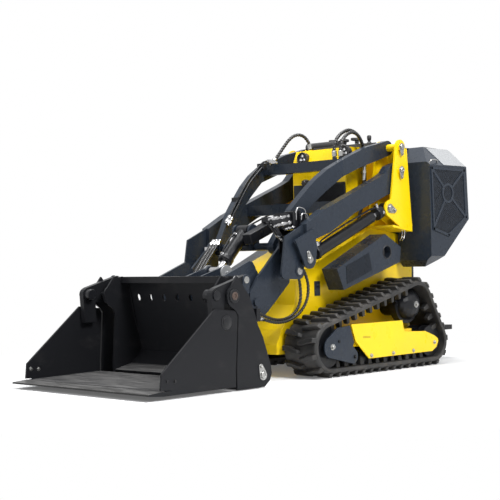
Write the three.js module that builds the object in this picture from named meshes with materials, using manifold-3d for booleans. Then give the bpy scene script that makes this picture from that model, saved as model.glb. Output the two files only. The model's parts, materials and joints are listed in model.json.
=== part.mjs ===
// Compact tracked loader with a four-in-one bucket, stand-behind type.
// Millimetres, +Z up, the machine faces -Y and its left side is +X.
// Side outlines are lists of [y, z] points, measured from a datum on the centreline;
// the finished group is shifted along Y so that the origin is under the middle of the box.
import * as THREE from 'three';
import Module from 'manifold-3d';
import { mergeVertices } from 'three/addons/utils/BufferGeometryUtils.js';

const wasm = await Module();
wasm.setup();

// ---------------------------------------------------------------- driving dimensions
const SEG = 20;             // facets on a full circle
const SEAT = 0.3;           // gap between pieces that touch
const RUN = 8;              // side gap between a moving piece and its neighbour
const PIN_R = 22;           // radius of the loader's pivot pins
const PIN_CLEAR = 0.8;      // radial clearance of a pivot eye round its pin
const EYE_R = 45;           // outer radius of a pivot eye
const PLATE = 12;           // thickness of the structural plates

const chassisHalf = 272;    // outer face of the chassis side plates
const trackGap = 15;        // chassis side to track
const trackWidth = 240;
const linkWidth = 44;
const armWidth = 58;
const bucketWidth = 1100;
const legOuter = 298;       // outer face of the loader leg plates
const eyeLane = 226;        // middle of the upper links' front eyes

// Pivots, [y, z]
const pinA = [543, 1327];   // upper link to tower
const pinB = [538, 1187];   // lift arm to tower
const pinD = [-345, 595];   // lift arm to leg
const pinC = [pinD[0] + pinA[0] - pinB[0], pinD[1] + pinA[1] - pinB[1]];
const pinE = [-590, 430];   // leg to attachment plate
const pinK = [-289, 658];   // lift cylinder to arm
const pinL = [432, 953];    // lift cylinder to tower
const pinT = [-362, 828];   // tilt cylinder to leg
const pinU = [-590, 592];   // tilt cylinder to attachment plate
const pinP = [-1012, 481];  // bucket jaw hinge
const pinR = [-903, 560];   // clam cylinder to jaw
const pinS = [-811, 66];    // clam cylinder to bucket back
const pinF = [905, 205];    // operator platform hinge

// Track wheels: centre and radius of the belt's inner face round each
const BELT = 28;            // belt thickness
const LUG = 22;             // tread lug height
const LUG_PITCH = 72;
const frontIdler = { c: [-222, 168], r: 168 - BELT - LUG };
const rearIdler = { c: [750, 145], r: 145 - BELT - LUG };
const sprocket = { c: [590, 375], r: 115 };
const rollerY = [-38, 125, 331, 527];
const rollerR = 50;

// Cylinders: lengths are measured from the barrel's pin
const BORE_CLEAR = 0.6;
const liftSize = {
  barrelR: 34, stemR: 15, rodR: 19, eyeR: 34, width: 30, pinR: 16,
  barrelFrom: 92, barrelTo: 640, rodFrom: 120,
};
const tiltSize = {
  barrelR: 38, stemR: 32, rodR: 20, eyeR: 34, width: 84, pinR: 18,
  barrelFrom: 40, barrelTo: 243, rodFrom: 100,
};
const clamSize = {
  barrelR: 22, stemR: 14, rodR: 12, eyeR: 22, width: 28, pinR: 11,
  barrelFrom: 30, barrelTo: 310, rodFrom: 212,
};

// Hoses: radius, and routes of [x, y, z] points
const HOSE_SIDES = 8;
const LOADER_HOSE_R = 9;
const ARCH_HOSE_R = 11;
const PORT_R = 14;
const CAP_GAP = 1.4;         // port to hose, along a hose end that leans a little
const shelfTop = 1246;       // shelf beside the console that the left arches end on
const loaderRoutes = [
  [
    [315, -406, 780], [315, -364, 741], [315, -318, 682], [315, -279, 612], [315, -255, 545],
    [315, -244, 484], [315, -248, 430], [315, -274, 382], [315, -320, 348], [315, -378, 330],
    [315, -444, 328], [315, -506, 341], [315, -563, 360], [315, -618, 380],
  ],
  [
    [345, -419, 774], [345, -372, 720], [345, -312, 664], [345, -262, 614], [345, -228, 562],
    [345, -212, 500], [345, -226, 432], [345, -272, 374], [345, -337, 337], [345, -407, 318],
    [345, -477, 315], [345, -548, 327], [345, -618, 346],
  ],
];
const archLeftRoutes = [
  [
    [250, 154, 1262], [250, 150, 1306], [250, 169, 1360], [249, 221, 1405], [246, 300, 1430],
    [242, 378, 1410], [238, 424, 1366], [235, 441, 1315], [235, 442, 1262],
  ],
  [
    [285, 170, 1262], [285, 168, 1300], [284, 184, 1350], [281, 226, 1392], [277, 290, 1414],
    [273, 350, 1398], [269, 390, 1356], [268, 407, 1308], [268, 408, 1262],
  ],
];
const archRightRoute = [
  [-272, 172, 1264], [-269, 200, 1290], [-263, 230, 1324], [-254, 264, 1368], [-244, 302, 1412],
  [-236, 340, 1438], [-226, 378, 1446], [-215, 414, 1434], [-205, 438, 1404], [-198, 446, 1370],
  [-196, 447, 1352],
];

// Lanes across the machine, worked out from the sizes above
const trackIn = chassisHalf + trackGap;
const trackOut = trackIn + trackWidth;
const trackMid = (trackIn + trackOut) / 2;
const towerIn = chassisHalf + 14;                 // inner face of the tower's inner plate
const linkIn = towerIn + PLATE + RUN;
const linkOut = linkIn + linkWidth;
const armIn = linkOut + PLATE;
const armOut = armIn + armWidth;
const towerOut = armOut + RUN;                    // inner face of the tower's outer plate
const cylX = (armIn + armOut) / 2 + 6;            // lift cylinder centre
const legIn = legOuter - 16;
const frontLane = [armIn + 23, armIn + 35];     // plate that carries the leg pin on each arm
const bucketHalf = bucketWidth / 2;

// ---------------------------------------------------------------- finishes
const finish = (color, roughness, metalness) =>
  new THREE.MeshStandardMaterial({ color, roughness, metalness });
const YELLOW = () => finish(0xf2c414, 0.4, 0.1);
const SLATE = () => finish(0x3c424b, 0.5, 0.2);
const BLACK = () => finish(0x26272b, 0.5, 0.2);
const RUBBER = () => finish(0x2b2a2a, 0.9, 0.0);
const STEEL = () => finish(0xb5b8ba, 0.3, 0.9);
const PLASTIC = () => finish(0x17181a, 0.6, 0.0);

// ---------------------------------------------------------------- shape helpers
function toSolid(geometry) {
  const bare = geometry.clone();
  bare.deleteAttribute('normal');
  bare.deleteAttribute('uv');
  const merged = mergeVertices(bare, 1e-4);
  return new wasm.Manifold(new wasm.Mesh({
    numProp: 3,
    vertProperties: new Float32Array(merged.attributes.position.array),
    triVerts: new Uint32Array(merged.index.array),
  }));
}

function toGeometry(solid) {
  const mesh = solid.getMesh();
  const geometry = new THREE.BufferGeometry();
  geometry.setAttribute('position', new THREE.BufferAttribute(mesh.vertProperties, 3));
  geometry.setIndex(new THREE.BufferAttribute(mesh.triVerts, 1));
  geometry.computeVertexNormals();
  return geometry;
}

const join = (...solids) => solids.reduce((sum, solid) => sum.add(solid));
const cut = (solid, ...tools) => tools.reduce((rest, tool) => rest.subtract(tool), solid);

// A side outline of [y, z] points, extruded across the machine from x0 to x1.
function plate(points, x0, x1) {
  const shape = new THREE.Shape(points.map(([y, z]) => new THREE.Vector2(y, z)));
  const geometry = new THREE.ExtrudeGeometry(shape, { depth: x1 - x0, bevelEnabled: false });
  const toYZ = new THREE.Matrix4().makeBasis(
    new THREE.Vector3(0, 1, 0), new THREE.Vector3(0, 0, 1), new THREE.Vector3(1, 0, 0));
  geometry.applyMatrix4(toYZ).translate(x0, 0, 0);
  return toSolid(geometry);
}

function box(x0, x1, y0, y1, z0, z1) {
  const geometry = new THREE.BoxGeometry(x1 - x0, y1 - y0, z1 - z0);
  return toSolid(geometry.translate((x0 + x1) / 2, (y0 + y1) / 2, (z0 + z1) / 2));
}

// A round bar across the machine.
function crossBar([y, z], r, x0, x1, segments = SEG) {
  const geometry = new THREE.CylinderGeometry(r, r, x1 - x0, segments);
  return toSolid(geometry.rotateZ(-Math.PI / 2).translate((x0 + x1) / 2, y, z));
}

// A round bar in the side plane at x, from a distance s0 to s1 along the line from p to q.
function sideBar(p, q, r, x, s0, s1, segments = SEG) {
  const dir = new THREE.Vector3(0, q[0] - p[0], q[1] - p[1]).normalize();
  const geometry = new THREE.CylinderGeometry(r, r, s1 - s0, segments);
  geometry.applyQuaternion(new THREE.Quaternion().setFromUnitVectors(new THREE.Vector3(0, 1, 0), dir));
  const middle = new THREE.Vector3(x, p[0], p[1]).addScaledVector(dir, (s0 + s1) / 2);
  return toSolid(geometry.translate(middle.x, middle.y, middle.z));
}

// An upright round bar at [x, y].
function upright([x, y], r, z0, z1, segments = 16) {
  const geometry = new THREE.CylinderGeometry(r, r, z1 - z0, segments);
  return toSolid(geometry.rotateX(Math.PI / 2).translate(x, y, (z0 + z1) / 2));
}

const distance = (p, q) => Math.hypot(q[0] - p[0], q[1] - p[1]);

// Points on an arc about [y, z], angles in degrees from +Y towards +Z.
function arc([y, z], r, from, to, steps = 8) {
  return Array.from({ length: steps + 1 }, (_, i) => {
    const a = THREE.MathUtils.degToRad(from + (to - from) * i / steps);
    return [y + r * Math.cos(a), z + r * Math.sin(a)];
  });
}

// A strip of even thickness below a line of [y, z] points that runs towards +Y.
function strip(points, thickness) {
  const normals = points.map((_, i) => {
    const a = points[Math.max(i - 1, 0)];
    const b = points[Math.min(i + 1, points.length - 1)];
    const length = distance(a, b);
    return [(b[1] - a[1]) / length, -(b[0] - a[0]) / length];
  });
  const under = points.map(([y, z], i) => [y + normals[i][0] * thickness, z + normals[i][1] * thickness]);
  return [...under, ...points.reverse()];
}

function mirror(solid) {
  const geometry = toGeometry(solid);
  geometry.scale(-1, 1, 1);
  const index = geometry.index.array;
  for (let i = 0; i < index.length; i += 3) [index[i], index[i + 1]] = [index[i + 1], index[i]];
  return toSolid(geometry);
}

// A hose along a smooth curve through [x, y, z] points.
function hose(points, r) {
  const path = new THREE.CatmullRomCurve3(points.map((p) => new THREE.Vector3(...p)));
  const ring = Array.from({ length: HOSE_SIDES }, (_, i) => {
    const a = 2 * Math.PI * i / HOSE_SIDES;
    return new THREE.Vector2(r * Math.cos(a), r * Math.sin(a));
  });
  const steps = Math.ceil(path.getLength() / (5 * r));
  return toSolid(new THREE.ExtrudeGeometry(new THREE.Shape(ring),
    { steps, bevelEnabled: false, extrudePath: path }));
}

// ---------------------------------------------------------------- the assembly
const machine = new THREE.Group();
function add(name, solid, material) {
  const mesh = new THREE.Mesh(toGeometry(solid), material());
  mesh.name = name;
  machine.add(mesh);
}
function addPair(name, solid, material) {
  add(`${name}_left`, solid, material);
  add(`${name}_right`, mirror(solid), material);
}

// ---------------------------------------------------------------- chassis
const SHEET = 8;
const chassisFloorZ = 130;
const chassisRear = 860;
const deckFront = [-236, 540];
const deckKink = [-163, 598];
const deckTop = [458, 842];
const deckRear = [chassisRear, 786];
const towerRear = 650;
// Height of the chassis top behind its highest point.
const deckZ = (y) => deckTop[1] + (y - deckTop[0]) * (deckRear[1] - deckTop[1]) / (deckRear[0] - deckTop[0]);
const beltReach = 48;        // chassis side to the track frame's inner plate
const frameIn = chassisHalf + beltReach;

function buildChassis() {
  const half = chassisHalf;
  const nose = [[-405, chassisFloorZ], [-405, 186], [-361, 267], [-249, 402], deckFront];
  const side = [...nose, deckKink, deckTop, deckRear, [chassisRear, chassisFloorZ]];
  const sides = join(plate(side, half - 10, half), plate(side, -half, -half + 10));
  const front = plate(strip([...nose, deckKink], SHEET), -half + 5, half - 5);
  const floor = box(-half + 5, half - 5, -405, chassisRear, chassisFloorZ, chassisFloorZ + SHEET);
  const deck = plate(strip([deckKink, deckTop, [towerRear, deckZ(towerRear)]], SHEET), -half + 5, half - 5);
  const beam = (y0, y1) => box(-frameIn + SEAT, frameIn - SEAT, y0, y1, 168, 232);
  return join(sides, front, floor, deck, beam(-60, 40), beam(320, 430));
}
add('chassis', buildChassis(), YELLOW);

// ---------------------------------------------------------------- towers
function buildTower() {
  const top = arc([pinA[0] + 4, pinA[1]], EYE_R, 10, 170, 8);
  const outline = [
    ...top, [446, 1010], ...arc([pinL[0] + 4, pinL[1]], 50, 130, 250, 6),
    [546, 837], [600, 822.5], [640, 826], [towerRear, 850],
  ];
  const outer = plate(outline, towerOut, towerOut + PLATE);
  const lug = plate([...arc(pinL, 46, 60, 250, 8), [546, deckZ(546) + 6], [600, deckZ(600) + 6], [600, 940]],
    armIn - 6, armIn + 6);
  const inner = plate([
    ...arc(pinA, EYE_R, 0, 180, 10), [470, 1187], [420, 940], [400, 858], [towerRear, 830], [628, 1200],
  ], towerIn, towerIn + PLATE);
  const web = plate([[597, 1320], [609, 1320], [650, 830], [638, 830]], towerIn, towerOut + PLATE);
  const shelf = plate([
    [deckTop[0], deckTop[1] + SEAT], [towerRear, deckZ(towerRear) + SEAT],
    [towerRear, deckZ(towerRear) + 14], [deckTop[0], deckTop[1] + 14],
  ], chassisHalf - 40, towerOut + PLATE);
  const pins = [pinA, pinB].map((p) => crossBar(p, PIN_R, towerIn, towerOut + PLATE + 14));
  return join(outer, lug, inner, web, shelf, ...pins);
}
addPair('tower', buildTower(), YELLOW);

// ---------------------------------------------------------------- upper body
const consoleHalf = 215;
const consoleTop = 1340;
function buildConsole() {
  const seat = [[300, 780 + SEAT], [deckTop[0], deckTop[1] + SEAT], [640, deckZ(640) + SEAT]];
  const outline = [...seat, [640, consoleTop], [335, consoleTop - 5], [300, 1250]];
  const inside = [[300 + SHEET, 700], [300 + SHEET, 1248], [341, consoleTop - 5 - SHEET],
    [640 - SHEET, consoleTop - SHEET], [640 - SHEET, 700]];
  const shell = cut(plate(outline, -consoleHalf, consoleHalf),
    plate(inside, -consoleHalf + SHEET, consoleHalf - SHEET));
  const hoseShelf = box(consoleHalf - 5, consoleHalf + 64, 390, 460, shelfTop - 10, shelfTop);
  const hosePort = upright([...archRightRoute.at(-1)], PORT_R, consoleTop - 4, archRightRoute.at(-1)[2] - CAP_GAP);
  return join(shell, hoseShelf, hosePort);
}
add('console', buildConsole(), YELLOW);

function buildCowl() {
  const foot = consoleTop + SEAT;
  const outline = [[450, foot], [456, 1362], [650, 1382], [650, foot]];
  const pad = crossBar([520, 1376], 26, -278, -10);
  return join(plate(outline, -175, 175), pad);
}
add('instrument_cowl', buildCowl(), PLASTIC);

function buildLevers() {
  const bar = (x, y, top) => {
    const geometry = new THREE.CylinderGeometry(9, 9, top - 1370, 12);
    return toSolid(geometry.rotateX(Math.PI / 2).translate(x, y, (top + 1370) / 2));
  };
  const base = box(-150, 150, 650 + SEAT, 700, 1350, 1376);
  return join(base, bar(-100, 675, 1428), bar(0, 675, 1420), bar(100, 675, 1434));
}
add('control_levers', buildLevers(), PLASTIC);

add('engine', box(-190, 190, 440, 830, chassisFloorZ + SHEET + SEAT, 640), BLACK);

const hoodFront = 655;
const hoodRear = 880;
const podIn = 300;
const podOut = 550;
function buildHood() {
  const outline = [[hoodFront, deckZ(hoodFront) + SEAT], [hoodFront, 1240], [700, 1345], [860, 1345],
    [hoodRear, 1300], [hoodRear, deckZ(hoodRear) + SEAT]];
  const inside = [[hoodFront + SHEET, 700], [hoodFront + SHEET, 1238], [706, 1345 - SHEET],
    [856, 1345 - SHEET], [hoodRear - SHEET, 1298], [hoodRear - SHEET, 700]];
  const half = podIn - SEAT;
  return cut(plate(outline, -half, half), plate(inside, -half + SHEET, half - SHEET));
}
add('rear_hood', buildHood(), SLATE);

function buildPod() {
  const body = plate([
    [690, 1240], [690, 640], [736, 600], [800, 640], [1097, 893], [1075, 1335], [820, 1345],
  ], podIn, podOut);
  // The outer upper edge and the outer lower edge are bevelled.
  const upper = toSolid(new THREE.ExtrudeGeometry(new THREE.Shape([
    new THREE.Vector2(podOut + 10, 1210), new THREE.Vector2(podOut + 10, 1400),
    new THREE.Vector2(400, 1400), new THREE.Vector2(400, 1352),
  ]), { depth: 600, bevelEnabled: false }).rotateX(Math.PI / 2).translate(0, 1200, 0));
  const lower = toSolid(new THREE.ExtrudeGeometry(new THREE.Shape([
    new THREE.Vector2(podOut + 10, 500), new THREE.Vector2(podOut + 10, 672),
    new THREE.Vector2(400, 545), new THREE.Vector2(400, 500),
  ]), { depth: 600, bevelEnabled: false }).rotateX(Math.PI / 2).translate(0, 1200, 0));
  return cut(body, upper, lower);
}
addPair('side_pod', buildPod(), SLATE);

const boxIn = 325;
const boxOut = 440;
function buildSideBox() {
  const outline = [[-70, 601], [-12, 480], [519, 632], [532, 722], [379, 800]];
  const body = plate(outline, boxIn, boxOut);
  const bracket = box(chassisHalf + SEAT, boxIn + 2, 150, 330, 600, 650);
  return cut(join(body, bracket), crossBar([394, 693], 38, boxOut - 80, boxOut + 10));
}
addPair('side_box', buildSideBox(), SLATE);

// ---------------------------------------------------------------- rear cover and platform
const platformHalf = chassisHalf + 28;
const hingeR = 9;
function buildRearCover() {
  const top = deckZ(hoodRear) - SEAT;
  const back = box(-chassisHalf, chassisHalf, chassisRear + SEAT, hoodRear, 240, top);
  const ears = [-1, 1].map((side) => {
    const x = side * (chassisHalf - 12);
    return plate([...arc(pinF, 24, -90, 90, 6), [chassisRear + SEAT, 260], [chassisRear + SEAT, 170]],
      x - 6, x + 6);
  });
  return cut(join(back, ...ears),
    crossBar(pinF, hingeR + PIN_CLEAR, -platformHalf, platformHalf, 16));
}
add('rear_cover', buildRearCover(), SLATE);

function buildPlatform() {
  const deck = box(-platformHalf, platformHalf, 950, 1250, 185, 215);
  const arms = [-1, 1].map((side) => {
    const x = side * (chassisHalf - 32);
    return plate([...arc(pinF, 20, 90, 270, 6), [960, 187], [960, 213]], x - 6, x + 6);
  });
  const shaft = crossBar(pinF, hingeR, -platformHalf + 20, platformHalf - 20, 16);
  return join(deck, ...arms, shaft);
}
add('operator_platform', buildPlatform(), BLACK);

// ---------------------------------------------------------------- undercarriage
// The belt runs round the wheels in this order; returns points and outward normals.
function beltPath(offset, step) {
  const wheels = [frontIdler, rearIdler, sprocket].map(({ c, r }) => ({ c, r: r + offset }));
  const tangent = (a, b) => {
    const d = distance(a.c, b.c);
    const along = Math.atan2(b.c[1] - a.c[1], b.c[0] - a.c[0]);
    return along - Math.acos((a.r - b.r) / d);
  };
  const legs = wheels.map((wheel, i) => tangent(wheel, wheels[(i + 1) % 3]));
  const points = [];
  wheels.forEach((wheel, i) => {
    const from = legs[(i + 2) % 3];
    let to = legs[i];
    while (to < from) to += 2 * Math.PI;
    const count = Math.max(2, Math.round((to - from) * wheel.r / step));
    for (let k = 0; k <= count; k += 1) {
      const a = from + (to - from) * k / count;
      points.push([wheel.c[0] + wheel.r * Math.cos(a), wheel.c[1] + wheel.r * Math.sin(a)]);
    }
  });
  return points;
}

// Evenly spaced points with outward normals on a closed line.
function resample(points, count) {
  const closed = [...points, points[0]];
  const lengths = closed.slice(1).map((p, i) => distance(closed[i], p));
  const total = lengths.reduce((sum, l) => sum + l, 0);
  return Array.from({ length: count }, (_, n) => {
    let left = total * n / count;
    let i = 0;
    while (left > lengths[i] && i < lengths.length - 1) { left -= lengths[i]; i += 1; }
    const t = left / lengths[i];
    const [a, b] = [closed[i], closed[i + 1]];
    const tangent = [(b[0] - a[0]) / lengths[i], (b[1] - a[1]) / lengths[i]];
    return { p: [a[0] + (b[0] - a[0]) * t, a[1] + (b[1] - a[1]) * t], n: [tangent[1], -tangent[0]] };
  });
}

function buildTrack() {
  const outer = beltPath(BELT, 8);
  const length = outer.reduce((sum, p, i) => sum + distance(p, outer[(i + 1) % outer.length]), 0);
  const lugs = Math.round(length / LUG_PITCH);
  const outline = [];
  resample(outer, lugs * 6).forEach(({ p, n }, i) => {
    const step = i % 6;
    const raised = step === 1 || step === 3;
    if (raised) outline.push([p[0] + n[0] * LUG, p[1] + n[1] * LUG]);
    if (step === 0 || step === 4) outline.push(p);
  });
  const solid = plate(outline, trackIn, trackOut);
  return cut(solid, plate(beltPath(0, 14), trackIn - 5, trackOut + 5));
}
addPair('track', buildTrack(), RUBBER);

const wheelIn = trackIn + 58;
const wheelOut = trackOut - 42;
const coverIn = trackOut - 15;

function buildTrackFrame() {
  const beam = box(frameIn + 12, wheelOut, -90, 560, rollerR * 3 + 6, 232);
  const innerPlate = plate([
    [-60, 156], ...arc(frontIdler.c, 34, 270, 90, 6), [-60, 232], [560, 232], [600, 190],
    ...arc(rearIdler.c, 34, 90, -90, 6), [600, 156],
  ], frameIn, frameIn + 12);
  const posts = [60, 300, 500].map((y) => box(wheelOut - 5, coverIn - SEAT, y, y + 40, 170, 215));
  return join(beam, innerPlate, ...posts);
}
addPair('track_frame', buildTrackFrame(), YELLOW);

function buildWheel({ c, r }, axleOut) {
  const rim = crossBar(c, r - SEAT, wheelIn, wheelOut, 28);
  const groove = cut(crossBar(c, r + 5, trackMid - 26, trackMid + 26, 28),
    crossBar(c, r - 28, trackMid - 30, trackMid + 30, 28));
  return join(cut(rim, groove), crossBar(c, 14, frameIn + 12 + SEAT, axleOut));
}
addPair('front_idler', buildWheel(frontIdler, coverIn - SEAT), BLACK);
addPair('rear_idler', buildWheel(rearIdler, coverIn - SEAT), BLACK);

function buildRollers() {
  const rail = box(frameIn + 12 + SEAT, frameIn + 22, -60, 550, 84, 3 * rollerR + 6 - SEAT);
  const rollers = rollerY.map((y) => join(
    crossBar([y, 2 * rollerR], rollerR - SEAT, wheelIn, wheelOut - 10),
    crossBar([y, 2 * rollerR], 12, frameIn + 14, coverIn - SEAT, 16)));
  return join(rail, ...rollers);
}
addPair('rollers', buildRollers(), BLACK);

function buildSprocket() {
  const { c, r } = sprocket;
  const disc = crossBar(c, r - SEAT, trackMid - 24, trackMid + 24, 28);
  const motor = crossBar(c, 72, chassisHalf + SEAT, trackMid);
  const dome = toSolid(new THREE.SphereGeometry(96, 20, 10).scale(0.8, 1, 1.02)
    .translate(trackMid + 20, c[0], c[1]));
  return join(disc, motor, cut(dome, box(0, trackMid - 20, 300, 900, 100, 700)));
}
addPair('drive_sprocket', buildSprocket(), BLACK);

function buildCover() {
  return plate([
    [-50, 287], [425, 287], [442, 220], [652, 211], [748, 178], [778, 160], [784, 145], [765, 110],
    [720, 86], [106, 84], [-13, 191],
  ], coverIn, coverIn + SHEET);
}
addPair('track_cover', buildCover(), YELLOW);

function buildIdlerBracket() {
  const bolt = [-38, 108];
  return plate([
    [-62, 280], [-173, 274], ...arc(frontIdler.c, 62, 110, 240, 8), ...arc(bolt, 42, 255, 395, 8),
    [-40, 165], [-28, 185],
  ], coverIn, coverIn + SHEET);
}
addPair('idler_bracket', buildIdlerBracket(), SLATE);

// ---------------------------------------------------------------- lift arms
function buildArm() {
  const beam = plate([
    [-300, 855], [-300, 735], [-225, 733], [-223, 772], [-90, 813], [126, 923], [471, 1048], [520, 1120],
    ...arc(pinB, EYE_R, -75, 120, 10), [466, 1210], [420, 1165], [367, 1140], [194, 1072], [57, 1018],
    [-147, 938],
  ], armIn, armOut);
  const front = plate([
    [-452, 786], ...arc([-455, 585], 32, 180, 260, 4), ...arc(pinD, EYE_R, 265, 380, 8),
    [-335, 650], [-335, 700], [-290, 745], [-250, 850], [-302, 853],
  ], ...frontLane);
  const doubler = plate([
    [-256, 828], [-407, 764], ...arc(pinK, 52, 190, 350, 10), [-225, 733],
  ], armOut - 2, armOut + 10);
  const eye = cut(join(beam, front, doubler),
    crossBar(pinB, PIN_R + PIN_CLEAR, armIn - 5, armOut + 5),
    crossBar(pinD, PIN_R + PIN_CLEAR, armIn - 5, armOut + 5));
  const innerLobe = plate([...arc(pinK, 46, 180, 360, 8), [-240, 740], [-330, 740]], armIn, armIn + 12);
  return join(eye, innerLobe, crossBar(pinK, liftSize.pinR, armIn + 2, armOut + 8));
}
addPair('lift_arm', buildArm(), SLATE);
add('arm_cross_bar', box(-armIn + SEAT, armIn - SEAT, 35, 95, 932, 995), SLATE);

// ---------------------------------------------------------------- upper links
const linkBend = 110;        // y where the links start to turn inwards
const linkSlope = (linkOut - linkWidth / 2 - eyeLane) / (linkBend - pinC[0]);
function buildLink() {
  const outline = [
    ...arc(pinA, EYE_R, -60, 100, 8), [476, 1355], [340, 1324], [188, 1268], [linkBend, 1236], [3, 1180],
    [-90, 1111], [-149, 1054], [-216, 986], [-256, 943], ...arc(pinC, EYE_R, 150, 320, 10),
    [-225, 846], [-168, 920], [-100, 982], [-8, 1055], [linkBend, 1140], [279, 1201], [473, 1258],
  ];
  const eyes = [pinA, pinC].map((p) => crossBar(p, PIN_R + PIN_CLEAR, linkIn - 5, linkOut + 5));
  const bar = cut(plate(outline, linkIn, linkOut), ...eyes);
  const rear = cut(bar, box(linkIn - 5, linkOut + 5, pinC[0] - 100, linkBend, 600, 1500));
  const front = toGeometry(cut(bar, box(linkIn - 5, linkOut + 5, linkBend, pinA[0] + 100, 600, 1500)));
  const position = front.attributes.position;
  for (let i = 0; i < position.count; i += 1) {
    const inward = (linkBend - position.getY(i)) * linkSlope;
    position.setX(i, position.getX(i) - inward);
  }
  return join(rear, toSolid(front));
}
addPair('upper_link', buildLink(), SLATE);
function buildLinkTube() {
  const tube = box(-linkIn + SEAT, linkIn - SEAT, 125, 185, 1185, 1245);
  const ports = archLeftRoutes.map(([[x, y, z]]) => upright([x, y], PORT_R, 1240, z - CAP_GAP));
  const [x, y, z] = archRightRoute[0];
  const saddle = box(x - 18, x + 18, y - 42, y - 12, 1240, z + 6);
  return join(tube, saddle, ...ports);
}
add('link_cross_tube', buildLinkTube(), SLATE);

// ---------------------------------------------------------------- leg
function buildLeg() {
  const outline = [
    ...arc(pinC, 40, 20, 150, 6), [-400, 725], [-572, 567], [-636, 482], ...arc(pinE, EYE_R, 180, 290, 6),
    [-525, 352], [-316, 530], ...arc(pinD, EYE_R, -40, 20, 4),
  ];
  const pieces = [-1, 1].flatMap((side) => {
    const [a, b] = side > 0 ? [legIn, legOuter] : [-legOuter, -legIn];
    const lane = frontLane[0] - RUN / 2;
    const reach = frontLane[1] + 6;
    const boss = side > 0 ? [legOuter - 2, lane] : [-lane, -legOuter + 2];
    const pin = side > 0 ? [legOuter - 2, reach] : [-reach, -legOuter + 2];
    return [plate(outline, a, b), crossBar(pinD, 34, ...boss), crossBar(pinD, PIN_R, ...pin)];
  });
  const eTools = [-1, 1].map((side) => crossBar(pinE, PIN_R + PIN_CLEAR,
    side > 0 ? legIn - 5 : -legOuter - 5, side > 0 ? legOuter + 5 : -legIn + 5));
  const tube = crossBar(pinC, PIN_R, -legIn - 2, legIn + 2);
  const lower = crossBar([-440, 470], 38, -legIn - 2, legIn + 2);
  const ears = [-1, 1].map((side) => {
    const x = side * 62;
    return plate([...arc(pinT, 38, 0, 180, 8), [-385, 715], [-310, 715]], x - 8, x + 8);
  });
  const tiltPin = crossBar(pinT, tiltSize.pinR, -78, 78);
  return join(cut(join(...pieces), ...eTools), tube, lower, ...ears, tiltPin);
}
add('loader_leg', buildLeg(), SLATE);

// Block of quick couplers beside the leg, and the bulkhead where its two hoses end.
function buildCouplers() {
  const plateLane = [legOuter + SEAT, legOuter + 6];
  const bracket = plate([[-400, 700], [-310, 700], [-290, 900], [-400, 900]], ...plateLane);
  const block = box(plateLane[1] - 2, 352, -430, -200, 828, 918);
  const ends = loaderRoutes.map(([[x, y, z], next]) => {
    const start = [-500, 866];
    const slope = Math.hypot(y - start[0], z - start[1]);
    return join(sideBar([-400, 874], start, 12, x, 0, 106, 12), sideBar(start, [y, z], 11, x, -6, slope - CAP_GAP / 2, 12));
  });
  return join(bracket, block, ...ends);
}
add('coupler_block', buildCouplers(), BLACK);

function buildBulkhead() {
  const faceY = loaderRoutes[0].at(-1)[1] - 4;
  const bracket = box(legOuter + SEAT, legOuter + 6, faceY - 30, -596, 334, 398);
  const block = box(legOuter + 4, 360, faceY - 30, faceY, 330, 400);
  return join(bracket, block);
}
add('hose_bulkhead', buildBulkhead(), BLACK);

loaderRoutes.forEach((route, i) => add(`hose_loader_${i + 1}`, hose(route, LOADER_HOSE_R), RUBBER));
archLeftRoutes.forEach((route, i) => add(`hose_arch_left_${i + 1}`, hose(route, ARCH_HOSE_R), RUBBER));
add('hose_arch_right', hose(archRightRoute, ARCH_HOSE_R), RUBBER);

// ---------------------------------------------------------------- attachment plate
const WALL = 10;
const wallFoot = [-793, 156];
const wallTop = [-888, 572];
// A point behind the bucket's rear wall: a share of the way up it, and a depth behind it.
function wallPoint(share, depth) {
  const [dy, dz] = [wallTop[0] - wallFoot[0], wallTop[1] - wallFoot[1]];
  const length = Math.hypot(dy, dz);
  const out = WALL + SEAT + depth;
  return [wallFoot[0] + dy * share + dz / length * out, wallFoot[1] + dz * share - dy / length * out];
}

function buildAttachPlate() {
  // Two strips, one below the row of sight holes and one above it.
  const face = [[0.08, 0.64], [0.84, 0.94]].map(([low, high]) => plate(
    [wallPoint(low, 0), wallPoint(low, 16), wallPoint(high, 16), wallPoint(high, 0)], -400, 400));
  const ribs = [-1, 1].map((side) => {
    const x = side * (legIn - 26);
    return plate([
      wallPoint(0.94, 2), [-600, 655], [-575, 650], [-522, 567], ...arc(pinE, 42, 20, -110, 8),
      wallPoint(0.08, 2),
    ], x - 8, x + 8);
  });
  const pins = [-1, 1].map((side) => {
    const [a, b] = side > 0 ? [legIn - 30, legOuter + 12] : [-legOuter - 12, -legIn + 30];
    return crossBar(pinE, PIN_R, a, b);
  });
  const ears = [-1, 1].map((side) => {
    const x = side * 58;
    return plate([wallPoint(0.94, 2), ...arc(pinU, 40, 90, -90, 8), wallPoint(0.5, 2)], x - 8, x + 8);
  });
  return join(...ribs, ...face, ...pins, ...ears);
}
add('attach_plate', buildAttachPlate(), SLATE);

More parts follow.
